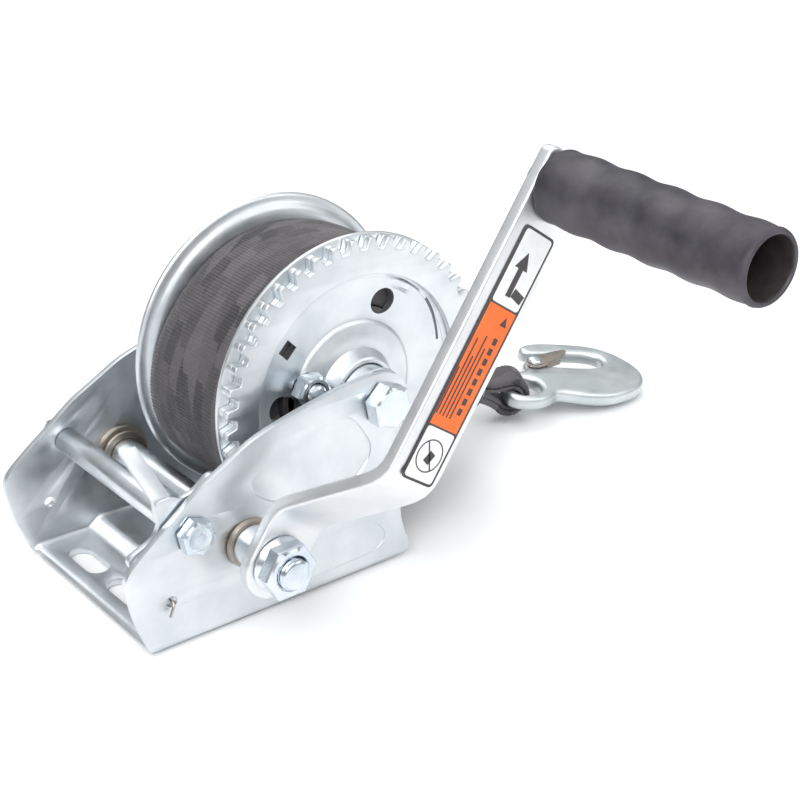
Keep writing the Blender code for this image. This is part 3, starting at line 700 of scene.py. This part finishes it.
def make_flanges():
    """Both flanges, the reel's bearings and side washers, and the bolt that anchors the strap."""
    ring = [
        (31.5, -28.6), (58.7, -28.6), (59.35, -28.35), (59.6, -27.8), (59.6, -27.3), (59.35, -26.75),
        (58.7, -26.5), (31.5, -26.5),
    ]
    near = solid("near_flange", turned(REEL, ring, 160), LOOK["zinc"])
    for loop in gear_openings():
        combine(near, flat([loop], -35.0, -20.0))
    finish_piece(near, "reel", ["reel_flange_near"], 40.0)
    dish = [
        (11.5, 23.5), (52.8, 23.5), (54.6, 23.6), (55.8, 24.1), (56.8, 24.9), (57.8, 25.5), (59.2, 25.7),
        (60.2, 25.9), (60.7, 26.5), (60.8, 27.2), (60.4, 27.9), (59.5, 28.2), (57.8, 28.0), (56.2, 27.4),
        (55.0, 26.3), (54.0, 25.7), (52.4, 25.6), (11.5, 25.6),
    ]
    far = solid("far_flange", turned(REEL, dish, 160), LOOK["zinc"])
    combine(far, flat([circle(*ANCHOR, 4.3)], 20.0, 30.0))
    finish_piece(far, "reel", ["reel_flange_far"], 40.0)
    hub = [
        (8.3, -42.2), (8.6, -42.6), (10.2, -42.6), (10.9, -42.3), (11.2, -41.6), (11.2, -21.0),
        (8.3, -21.0),
    ]
    piece("near_hub_bush", turned(REEL, hub), LOOK["bush"], "reel", ["reel_bush_near"])
    back = [(8.3, 20.8), (11.2, 20.8), (11.2, 41.0), (10.8, 41.4), (8.3, 41.4)]
    piece("far_hub_bush", turned(REEL, back), LOOK["bronze"], "reel", ["reel_bush_far"])
    for name, node, y0, y1 in (("near_side_washer", "reel_washer_near", -44.5, -42.9),
                               ("far_side_washer", "reel_washer_far", 41.7, 44.4)):
        ring = [(8.3, y0), (11.7, y0), (12.0, y0 + 0.3), (12.0, y1 - 0.3), (11.7, y1), (8.3, y1)]
        piece(name, turned(REEL, ring), LOOK["bush"], "frame", [node])
    bolt("anchor_bolt_head", "strap_anchor_bolt", ANCHOR, 6.35, 3.9, 31.2, 25.9, -37.0, -40.4, "reel")
    nut("anchor_lock_nut", "strap_anchor_nut", ANCHOR, 6.35, 4.0, -38.4, -31.9, "reel")


RIB_PITCH = 1.3
ROLL_BULGES = ((196.0, 7.6, 40.0), (25.0, 7.6, 30.0))


def make_roll():
    """Wound webbing: ribs cross the strap, shallow bands run along it, and it bulges where it is loose."""
    outer = 50.5
    ribs = round(2 * math.pi * outer / RIB_PITCH)
    inner = [(31.5, 23.0), (31.5, -26.0)]
    face = [(48.6, -26.2)]
    bands = 14
    for k in range(bands + 1):
        face.append((outer, -25.9 + 48.8 * k / bands))
    face.append((48.6, 23.2))

    def grow(angle, y, radius):
        if radius < 40.0:
            return 0.0
        rib = 0.34 * abs(math.sin(ribs * angle / 2))
        cord = 0.07 * math.cos(2 * math.pi * y / PATCH_WIDTH)
        slack = 0.10 * math.sin(3 * angle + 0.4) + 0.05 * math.sin(7 * angle)
        for middle, swell, spread in ROLL_BULGES:
            away = (math.degrees(angle) - middle + 180) % 360 - 180
            slack += swell * math.exp(-(away / spread) ** 2)
        return rib + cord + slack - 0.2

    bm = turned(REEL, inner + face, ribs * 4, grow=grow)
    roll = piece("webbing_roll", bm, LOOK["webbing"], "reel", ["strap_roll"], 80.0)

    def place(at):
        turn = math.degrees(math.atan2(at.z - REEL[1], at.x - REEL[0])) % 360
        across = (at.y + STRAP_EDGE) / PATCH_WIDTH
        return turn / PATCH_DEGREES + 0.5 * math.floor(across) + 0.001, across

    mark_strap(roll, place)


# ---------------------------------------------------------------- drive shaft, pinion, crank

PINION_TEETH = 11
PINION_TOOTH_AT = 34.83


def make_drive():
    shaft = [(2.0, 52.8), (5.7, 53.0), (6.35, 52.4), (6.35, -66.3), (6.0, -66.9), (5.9, -67.4)]
    piece("drive_rod", turned(SHAFT, shaft, ring=False), LOOK["bush"], "crank", ["drive_shaft"])
    end = threads(SHAFT, 6.0, -67.4, -78.5, 1.8, 0.55, 1.0)
    piece("drive_rod_thread", end, LOOK["bolt"], "crank", ["drive_shaft"], 50.0)
    points = []
    half = ((12.0, 0.33), (12.8, 0.27), (14.6, 0.20), (15.8, 0.12), (16.0, 0.05))
    for k in range(PINION_TEETH):
        middle = PINION_TOOTH_AT + k * 360.0 / PINION_TEETH
        for radius, share in half:
            points.append(polar(SHAFT, radius, middle - share * 360.0 / PINION_TEETH))
        for radius, share in reversed(half):
            points.append(polar(SHAFT, radius, middle + share * 360.0 / PINION_TEETH))
    pinion = flat([points, circle(*SHAFT, 6.5)], -44.2, -28.9, 0.4, 2)
    piece("pinion", pinion, LOOK["zinc"], "crank", ["pinion_gear"])
    collar = [(6.5, -61.2), (7.6, -61.2), (7.9, -60.9), (7.9, -50.9), (7.6, -50.6), (6.5, -50.6)]
    piece("crank_collar", turned(SHAFT, collar), LOOK["bush"], "crank", ["crank_spacer"])
    clip = [(6.5, 48.6), (10.0, 48.6), (10.2, 48.8), (10.2, 49.7), (10.0, 49.9), (6.5, 49.9)]
    piece("shaft_ring", turned(SHAFT, clip), LOOK["bush"], "crank", ["shaft_clip"])
    flanged = [
        (6.1, -75.0), (6.9, -76.0), (8.5, -76.0), (9.15, -75.5, True), (9.5, -74.7, True), (9.5, -70.4, True),
        (9.3, -70.1), (9.6, -69.7), (10.4, -68.9), (10.7, -68.3), (10.7, -67.7), (10.4, -67.3), (6.1, -67.3),
    ]
    bm = turned(SHAFT, flanged)
    piece("crank_flange_nut", bm, LOOK["bolt"], "crank", ["crank_nut"], 20.0)


def arm_space():
    """Arm coordinates to the model: X along the arm, Y across it to the right, Z towards the far side."""
    c, s = math.cos(ARM_ANGLE), math.sin(ARM_ANGLE)
    return Matrix(((c, s, 0, SHAFT[0]), (0, 0, 1, 0), (s, -c, 0, SHAFT[1]), (0, 0, 0, 1)))


def offset_line(line, half):
    """Both sides of a polyline at the given half thickness, as one outline."""
    left, right = [], []
    for i, point in enumerate(line):
        before, after = line[max(i - 1, 0)], line[min(i + 1, len(line) - 1)]
        run = (Vector(after) - Vector(before)).normalized()
        left.append((point[0] - run.y * half, point[1] + run.x * half))
        right.append((point[0] + run.y * half, point[1] - run.x * half))
    return left + list(reversed(right))


def make_arm():
    """Flat bar with two bends, round at the shaft and square with small corners at the grip."""
    line = [(-14.5, -64.25), (12.0, -64.25), (15.5, -64.6), (18.6, -66.0), (21.2, -68.6), (23.6, -71.9)]
    line += [(41.2, -96.9), (43.8, -100.2), (46.6, -102.7), (49.8, -104.1), (53.5, -104.55), (174.5, -104.55)]
    section = offset_line(line, 2.7)
    side = flat([section], -13.0, 13.0, plane="XY")
    side.transform(arm_space() @ PLANES["XZ"])
    bmesh.ops.recalc_face_normals(side, faces=side.faces)
    arm = solid("arm_bar", side, LOOK["arm"])
    half, corner, corner_at = 11.8, 3.2, 164.4
    outline = arc(-2.0, 0.0, half, 90, 270, 24) + arc(corner_at, corner - half, corner, 270, 360, 8)
    outline += arc(corner_at, half - corner, corner, 0, 90, 8)
    cutter = flat([outline, circle(0.0, 0.0, 6.5)], -120.0, -50.0, plane="XY")
    cutter.transform(arm_space())
    bmesh.ops.recalc_face_normals(cutter, faces=cutter.faces)
    combine(arm, cutter, "INTERSECT")
    soften_edges(arm, 1.0, 3, 40.0)
    finish_piece(arm, "crank", ["crank_arm"], 50.0)


LABEL_FACE = 107.55
LABEL = (48.8, 141.0, -7.0, 8.6)
PANEL_THICK = 0.36
MARK_TOP = 0.46


def arm_patch(name, corners, thick, material, radius):
    """Thin printed patch on the arm's outer face, from two limits along the arm and two across it."""
    a0, a1, c0, c1 = corners
    loop = softened([(a0, c0), (a0, c1), (a1, c1), (a1, c0)], radius, 6)
    bm = flat([loop], -LABEL_FACE - thick, -LABEL_FACE, plane="XY")
    bm.transform(arm_space())
    bmesh.ops.recalc_face_normals(bm, faces=bm.faces)
    return piece(name, bm, material, "crank", ["warning_label"])


def label_mark(name, loops):
    """Raised printed mark on the label, drawn in arm coordinates."""
    bm = flat(loops, -LABEL_FACE - MARK_TOP, -LABEL_FACE - PANEL_THICK, plane="XY")
    bm.transform(arm_space())
    bmesh.ops.recalc_face_normals(bm, faces=bm.faces)
    piece(name, bm, LOOK["dark"], "crank", [])


def box_loop(along, across, length, width, turn=0.0):
    c, s = math.cos(math.radians(turn)), math.sin(math.radians(turn))
    loop = []
    for u, v in ((-length, -width), (length, -width), (length, width), (-length, width)):
        loop.append((along + (u * c - v * s) / 2, across + (u * s + v * c) / 2))
    return loop


def make_label():
    """Bordered label of three panels, with plain bars and signs in place of print."""
    low, high, left, right = LABEL
    arm_patch("label_border", LABEL, 0.30, LOOK["dark"], 2.2)
    border, gap = 0.95, 0.7
    first, second = low + 19.6, high - 27.6
    panels = (
        ("label_lower_panel", low + border, first - gap / 2, LOOK["white"], 1.4),
        ("label_middle_panel", first + gap / 2, second - gap / 2, LOOK["orange"], 0.2),
        ("label_upper_panel", second + gap / 2, high - border, LOOK["white"], 1.4),
    )
    for name, start, end, material, radius in panels:
        arm_patch(name, (start, end, left + border, right - border), PANEL_THICK, material, radius)
    middle = (left + right) / 2
    centre = (low + first) / 2
    label_mark("label_ring", [circle(centre, middle, 5.9), circle(centre, middle, 5.45)])
    label_mark("label_slash", [box_loop(centre, middle, 11.0, 0.5, -35.0)])
    label_mark("label_block", [box_loop(centre - 0.6, middle + 0.3, 4.2, 3.0, 20.0)])
    label_mark("label_triangle", [[(107.5, 5.9), (107.5, 2.6), (110.8, 4.2)]])
    lengths = (26.0, 30.0, 22.0, 28.0, 17.0)
    for row, length in enumerate(lengths):
        bar = box_loop(72.5 + length / 2, 1.4 - 1.75 * row, length, 0.62)
        label_mark(f"label_line_{row}", [bar])
    for k in range(8):
        bar = box_loop(76.0 + 3.7 * k, 4.3, 2.4, 1.9)
        label_mark(f"label_bar_{k}", [bar])
    arrow = [
        (117.0, 1.0), (117.0, -1.4), (127.0, -1.4), (127.0, -3.4), (133.0, -0.2), (127.0, 3.0), (127.0, 1.0),
    ]
    label_mark("label_arrow", [list(reversed(arrow))])
    label_mark("label_plate", [box_loop(118.5, 4.2, 3.2, 5.6, 12.0)])


def grip_piece(name, bm, material, body, node, smooth):
    """Moves a shape turned about Y onto the grip's leaning axis."""
    lean = Vector((0.0, 1.0, 0.0)).rotation_difference(Vector(GRIP_LEAN).normalized())
    back = Matrix.Translation((0.0, -GRIP_FOOT[1], 0.0))
    foot = Matrix.Translation(GRIP_FOOT) @ lean.to_matrix().to_4x4() @ back
    bm.transform(foot)
    return piece(name, bm, material, body, [node], smooth)


WAVE_HEIGHT = 0.30
WAVE_LENGTH = 17.2
BORE_LIMIT = 10.25


def make_grip():
    """Moulded sleeve with shallow finger waves, a thick rolled lip and a deep open bore, its inside painted
    near-black as shade.
    """
    wave = [(10.2, -107.9), (11.2, -107.9), (11.9, -108.3), (12.4, -109.0)]
    count = 120
    for k in range(count + 1):
        y = -109.4 - 86.0 * k / count
        swell = WAVE_HEIGHT * math.cos(2 * math.pi * (y + 121.0) / WAVE_LENGTH)
        wave.append((12.75 - 0.6 * k / count + swell, y))
    wave += [
        (12.35, -196.4), (12.15, -197.2), (11.7, -197.9), (11.2, -198.25), (10.7, -198.2), (10.35, -197.8),
    ]
    bore = [(10.15, -197.0), (10.1, -196.0), (9.9, -161.0), (9.5, -160.4), (4.7, -160.4), (4.7, -107.9)]
    sleeve = turned((0, 0), wave + bore, 96)
    # Faces inside the bore take the second, near-black material: painted shade in the hole.
    for face in sleeve.faces:
        middle = face.calc_center_median()
        if math.hypot(middle.x, middle.z) < BORE_LIMIT:
            face.material_index = 1
    grip = grip_piece("grip_sleeve", sleeve, LOOK["rubber"], "grip", "grip", 50.0)
    # Second material: near-black, painted shade for the bore.
    grip.data.materials.append(LOOK["dark"])
    axle = [
        (3.0, -98.3), (6.4, -98.5), (7.3, -99.2), (7.6, -100.2), (7.6, -101.2), (4.3, -101.2), (4.3, -161.0),
        (7.2, -161.0), (7.4, -161.4), (7.4, -162.8), (6.6, -163.8), (4.4, -164.6),
    ]
    pin = turned((0, 0), axle, ring=False)
    grip_piece("grip_pin", pin, LOOK["bolt"], "crank", "grip_axle", 35.0)


# ---------------------------------------------------------------- pawl and its spring

PAWL_SIDE = [
    (-14.7, 58.0), (-13.1, 52.5), (-13.9, 46.9), (-16.5, 43.9), (-22.6, 41.6), (-25.4, 40.4), (-26.4, 38.4),
    (-25.3, 35.6), (-22.0, 34.6), (-12.0, 35.6), (-5.5, 36.2), (-0.6, 37.0), (2.6, 39.4), (4.4, 43.0),
    (6.0, 46.6), (8.6, 48.4), (11.4, 48.7), (13.6, 50.2), (14.4, 54.0), (13.4, 59.6), (9.7, 62.2),
    (6.8, 61.9), (3.8, 59.4), (0.4, 57.2), (-4.5, 56.6), (-7.5, 58.5),
]


def make_pawl():
    """Flat stamping with a thumb tab that bends inwards from its upper edge."""
    outline = softened(list(reversed(PAWL_SIDE)), 3.0, 5)
    pawl = solid("pawl_stamping", flat([outline, circle(*PAWL, 5.2)], -43.8, -41.3), LOOK["zinc"])
    line = [(-42.55, 51.0), (-42.55, 56.6), (-42.1, 58.0), (-41.2, 58.9), (-24.2, 70.2)]
    tab = flat([offset_line(line, 1.15)], -14.6, -8.0, plane="YZ")
    bmesh.ops.recalc_face_normals(tab, faces=tab.faces)
    for vert in tab.verts:
        share = max((vert.co.z - 58.0) / 12.0, 0.0)
        vert.co.x += -2.0 * share
    combine(pawl, tab, "UNION")
    soften_edges(pawl, 0.5, 2)
    finish_piece(pawl, "pawl", ["pawl"], 45.0)


def wire(name, points, radius, material, body, nodes):
    curve = bpy.data.curves.new(name, "CURVE")
    curve.dimensions = "3D"
    curve.bevel_depth = radius * MM
    curve.bevel_resolution = 3
    curve.use_fill_caps = True
    spline = curve.splines.new("POLY")
    spline.points.add(len(points) - 1)
    for point, at in zip(spline.points, points):
        point.co = (*(Vector(at) * MM), 1.0)
    obj = bpy.data.objects.new(name, curve)
    bpy.context.scene.collection.objects.link(obj)
    curve.materials.append(material)
    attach(obj, body)
    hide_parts(*nodes)


def make_pawl_spring():
    """Coil round the pawl's tube, with one leg that ends in a hook outside the near plate."""
    points = []
    turns, radius, per_turn = 3.5, 6.05, 24
    steps = int(turns * per_turn)
    for k in range(steps + 1):
        a = math.radians(220.0) + 2 * math.pi * k / per_turn
        y = -40.3 + 3.6 * k / steps
        points.append((PAWL[0] + radius * math.cos(a), y, PAWL[1] + radius * math.sin(a)))
    leg = [(-11.0, -38.0, 27.0), (-12.5, -38.8, 21.4), (-12.6, -40.0, 20.2), (-12.6, -48.4, 20.0)]
    leg += [(-12.8, -49.1, 19.5), (-13.2, -49.3, 18.6), (-14.6, -49.4, 15.4)]
    path = list(reversed(leg)) + points
    wire("torsion_spring", path, 0.55, LOOK["wire"], "frame", ["pawl_spring"])


# ---------------------------------------------------------------- hook and webbing tail

HOOK_EYE = Vector((218.0, 17.0, 11.5))
HOOK_TURNS = (-22, -7.5, 8.5)


def hook_space():
    """Placement of the hook: local X along it, Y towards its tip arm, Z its thickness."""
    yaw, pitch, roll = (math.radians(turn) for turn in HOOK_TURNS)
    u = Vector((math.cos(yaw) * math.cos(pitch), math.sin(yaw) * math.cos(pitch), math.sin(pitch)))
    side = Vector((-math.sin(yaw), math.cos(yaw), 0.0))
    up = u.cross(side)
    v = side * math.cos(roll) + up * math.sin(roll)
    turned_to = Matrix((u, v, u.cross(v))).transposed().to_4x4()
    return Matrix.Translation(HOOK_EYE) @ turned_to


HOOK_OUTLINE = [
    (-4.0, 14.0), (1.0, 15.0), (1.0, 19.5), (2.6, 23.0), (6.0, 24.4), (9.6, 23.4), (12.0, 20.0), (15.0, 18.4),
    (24.0, 17.4), (34.0, 17.0), (41.0, 18.8), (43.6, 22.6), (42.4, 27.2), (37.5, 29.8), (27.0, 30.4),
    (14.0, 30.2), (8.0, 30.0), (4.2, 31.8), (4.0, 35.4), (8.6, 38.8), (16.7, 40.0), (29.5, 39.2),
    (38.0, 38.2),
    (45.0, 36.0), (52.2, 30.6), (57.4, 23.1), (60.4, 15.0), (59.2, 7.0), (54.5, 0.4), (46.8, -4.4),
    (36.0, -8.2), (26.0, -8.0), (17.0, -5.6), (10.4, -4.4), (6.6, -8.0), (1.0, -11.0), (-5.0, -11.9),
    (-10.4, -11.0), (-14.4, -8.6), (-15.5, -5.6), (-15.5, 7.6), (-14.4, 11.0), (-10.0, 13.4),
]
HOOK_EYE_HOLE = [
    (-9.9, -5.6), (-9.9, 7.6), (-8.2, 9.0), (-2.0, 8.4), (2.4, 6.0), (4.0, 1.6), (2.8, -2.8), (-1.4, -5.8),
    (-6.6, -6.8),
]
RIVET = (6.0, 18.6)


def hook_piece(name, bm, material, body, nodes, smooth=45.0):
    bm.transform(hook_space())
    bmesh.ops.recalc_face_normals(bm, faces=bm.faces)
    return piece(name, bm, material, body, nodes, smooth)


def make_hook():
    """Forged hook with its eye, the pin through it and the sheet latch across its throat."""
    outline = softened(HOOK_OUTLINE, 6.0, 4)
    eye = softened(HOOK_EYE_HOLE, 3.0, 4)
    body = flat([outline, eye], -3.5, 3.5, 2.6, 5, plane="XY")
    hook_piece("hook_body", body, LOOK["hook"], "hook", ["hook"], 60.0)
    rivet = [(2.1, -3.4), (2.1, 5.6), (3.5, 5.6), (3.7, 6.0), (3.3, 6.9), (2.2, 7.5), (0.8, 7.7)]
    pin = turned((0.0, 0.0), rivet, 48, ring=False)
    for vert in pin.verts:
        x, y, z = vert.co
        vert.co = (RIVET[0] + x, RIVET[1] - z, y)
    hook_piece("latch_pin", pin, LOOK["bolt"], "hook", ["latch_rivet"])
    outline = [
        (2.4, 15.6), (7.0, 14.8), (12.5, 17.0), (18.0, 21.0), (25.4, 27.4), (26.0, 29.2), (24.4, 30.0),
        (17.0, 27.6), (8.0, 23.6), (3.4, 21.6), (1.6, 18.8),
    ]
    plate = flat([softened(list(reversed(outline)), 2.0, 4), circle(*RIVET, 2.3)], 3.9, 5.3, 0.3, 2, "XY")
    latch = solid("latch_plate", plate, LOOK["latch"])
    skirt = flat([[(15.5, 24.4), (24.6, 29.0), (24.0, 30.0), (14.9, 25.7)]], -2.4, 4.6, plane="XY")
    combine(latch, skirt, "UNION")
    latch.data.transform(Matrix.Scale(MM, 4) @ hook_space() @ Matrix.Scale(1 / MM, 4))
    finish_piece(latch, "latch", ["latch"], 40.0)


BAR = (-12.7, 1.0)
TAIL_LINE = [
    (136.3, 93.0), (139.0, 84.8), (141.0, 75.8), (142.8, 66.8), (146.0, 58.4), (151.6, 50.6), (159.6, 43.6),
    (169.2, 36.4), (179.0, 29.6), (189.0, 23.6), (198.0, 19.4),
]


def smooth_line(points, step):
    """Catmull-Rom curve through the points, resampled at an even step."""
    pts = [Vector(p) for p in points]
    fine = []
    for i in range(len(pts) - 1):
        p0, p1 = pts[max(i - 1, 0)], pts[i]
        p2, p3 = pts[i + 1], pts[min(i + 2, len(pts) - 1)]
        for k in range(12):
            t = k / 12
            fine.append(0.5 * (2 * p1 + (p2 - p0) * t + (2 * p0 - 5 * p1 + 4 * p2 - p3) * t * t
                               + (3 * p1 - p0 - 3 * p2 + p3) * t ** 3))
    fine.append(pts[-1])
    out = [fine[0]]
    left = step
    for a, b in zip(fine, fine[1:]):
        span = (b - a).length
        while span >= left:
            a = a + (b - a) * (left / span)
            out.append(a)
            span = (b - a).length
            left = step
        left -= span
    return out


STRAP_WIDTH = 48
FOLD_AT = 8.0
FOLD_LENGTH = 2.8
FOLD_SQUEEZE = 0.30


def past_fold(along, fold):
    """0 before a fold, 1 after it, and even between."""
    return min(max((along - fold) / FOLD_LENGTH + 0.5, 0.0), 1.0)


def folded(amount):
    """Section of the webbing as (across, up) points: flat at 0, folded lengthwise in three at 1."""
    points = [Vector((0.0, 0.0))]
    for k in range(STRAP_WIDTH):
        along = k + 0.5 - STRAP_WIDTH / 2
        turn = math.pi * amount * (past_fold(along, -FOLD_AT) - past_fold(along, FOLD_AT))
        points.append(points[-1] + Vector((math.cos(turn), math.sin(turn))))
    middle = (points[0] + points[-1]) / 2
    squeeze = 1.0 - FOLD_SQUEEZE * amount
    return [Vector(((point.x - middle.x) * squeeze, point.y - middle.y)) for point in points]


LOOP_RADIUS = 6.8
FOLD_START = 146.0
FOLD_END = 8.0
YAW_SLOPE = 0.404
ROLL_MIDDLE = -1.5
LOOP_OFFSET = 4.0
RETURN_SHIFT = 5.0


def make_tail():
    """Loose webbing from the roll to the eye's bar, over it and back under itself, folded on the way."""
    space = hook_space()
    bar = space @ Vector((*BAR, 0.0))
    across = space.to_3x3() @ Vector((0.0, 1.0, 0.0))
    loop = arc(bar.x, bar.z, LOOP_RADIUS, 95, -150, 14)
    back = [(bar.x - 12.0, bar.z + 1.2), (bar.x - 21.0, bar.z + 6.6), (bar.x - 29.0, bar.z + 12.0)]
    step = RIB_PITCH / 4
    line = smooth_line(TAIL_LINE + loop + back, step)
    total = len(line)
    bm = bmesh.new()
    rows = []
    for i, point in enumerate(line):
        before, after = line[max(i - 1, 0)], line[min(i + 1, total - 1)]
        run = (after - before).normalized()
        lift = Vector((-run.y, run.x))
        share = min(max((point.x - FOLD_START) / (bar.x - FOLD_END - FOLD_START), 0.0), 1.0)
        ease = share * share * (3 - 2 * share)
        if i > total * 0.6:
            ease = 1.0
        middle = ROLL_MIDDLE + (bar.y - ROLL_MIDDLE + LOOP_OFFSET) * ease
        middle -= YAW_SLOPE * max(point.x - bar.x + 10.0, 0.0)
        if i > total * 0.82:
            middle -= RETURN_SHIFT * min((i - total * 0.82) / (total * 0.12), 1.0)
        rib = 0.16 * abs(math.sin(math.pi * i / 4))
        top, low = [], []
        section = folded(ease)
        for k, at in enumerate(section):
            ahead = section[min(k + 1, STRAP_WIDTH)] - section[max(k - 1, 0)]
            out = Vector((-ahead.y, ahead.x)).normalized() * (0.75 - 0.13 * ease + rib)
            for side, store in ((1, top), (-1, low)):
                reach, off = at + side * out
                x = point.x + lift.x * off + reach * ease * across.x / across.y
                z = point.y + lift.y * off + reach * ease * across.z / across.y
                store.append(bm.verts.new((x, middle + reach, z)))
        rows.append(top + list(reversed(low)))
    width = len(rows[0])
    bm.faces.new(rows[0])
    bm.faces.new(list(reversed(rows[-1])))
    for first, second in zip(rows, rows[1:]):
        for k in range(width):
            n = (k + 1) % width
            bm.faces.new((first[k], second[k], second[n], first[n]))
    bmesh.ops.recalc_face_normals(bm, faces=bm.faces)
    tail = piece("webbing_tail", bm, LOOK["webbing"], "frame", ["strap_tail"], 80.0)
    mark_strap(tail, lambda at: ((at.x - at.z) / PATCH_LENGTH, (at.y + STRAP_EDGE) / PATCH_WIDTH))


LOOK = make_looks()
make_camera()
make_studio()
# The drum hub, seen only through the gear's windows, gets the near-black material as painted shade inside the
# reel.
DRUM_HUB.data.materials.clear()
DRUM_HUB.data.materials.append(LOOK["dark"])
make_frame()
make_fixed_hardware()
make_gear()
make_flanges()
make_roll()
make_drive()
make_arm()
make_label()
make_grip()
make_pawl()
make_pawl_spring()
make_hook()
make_tail()
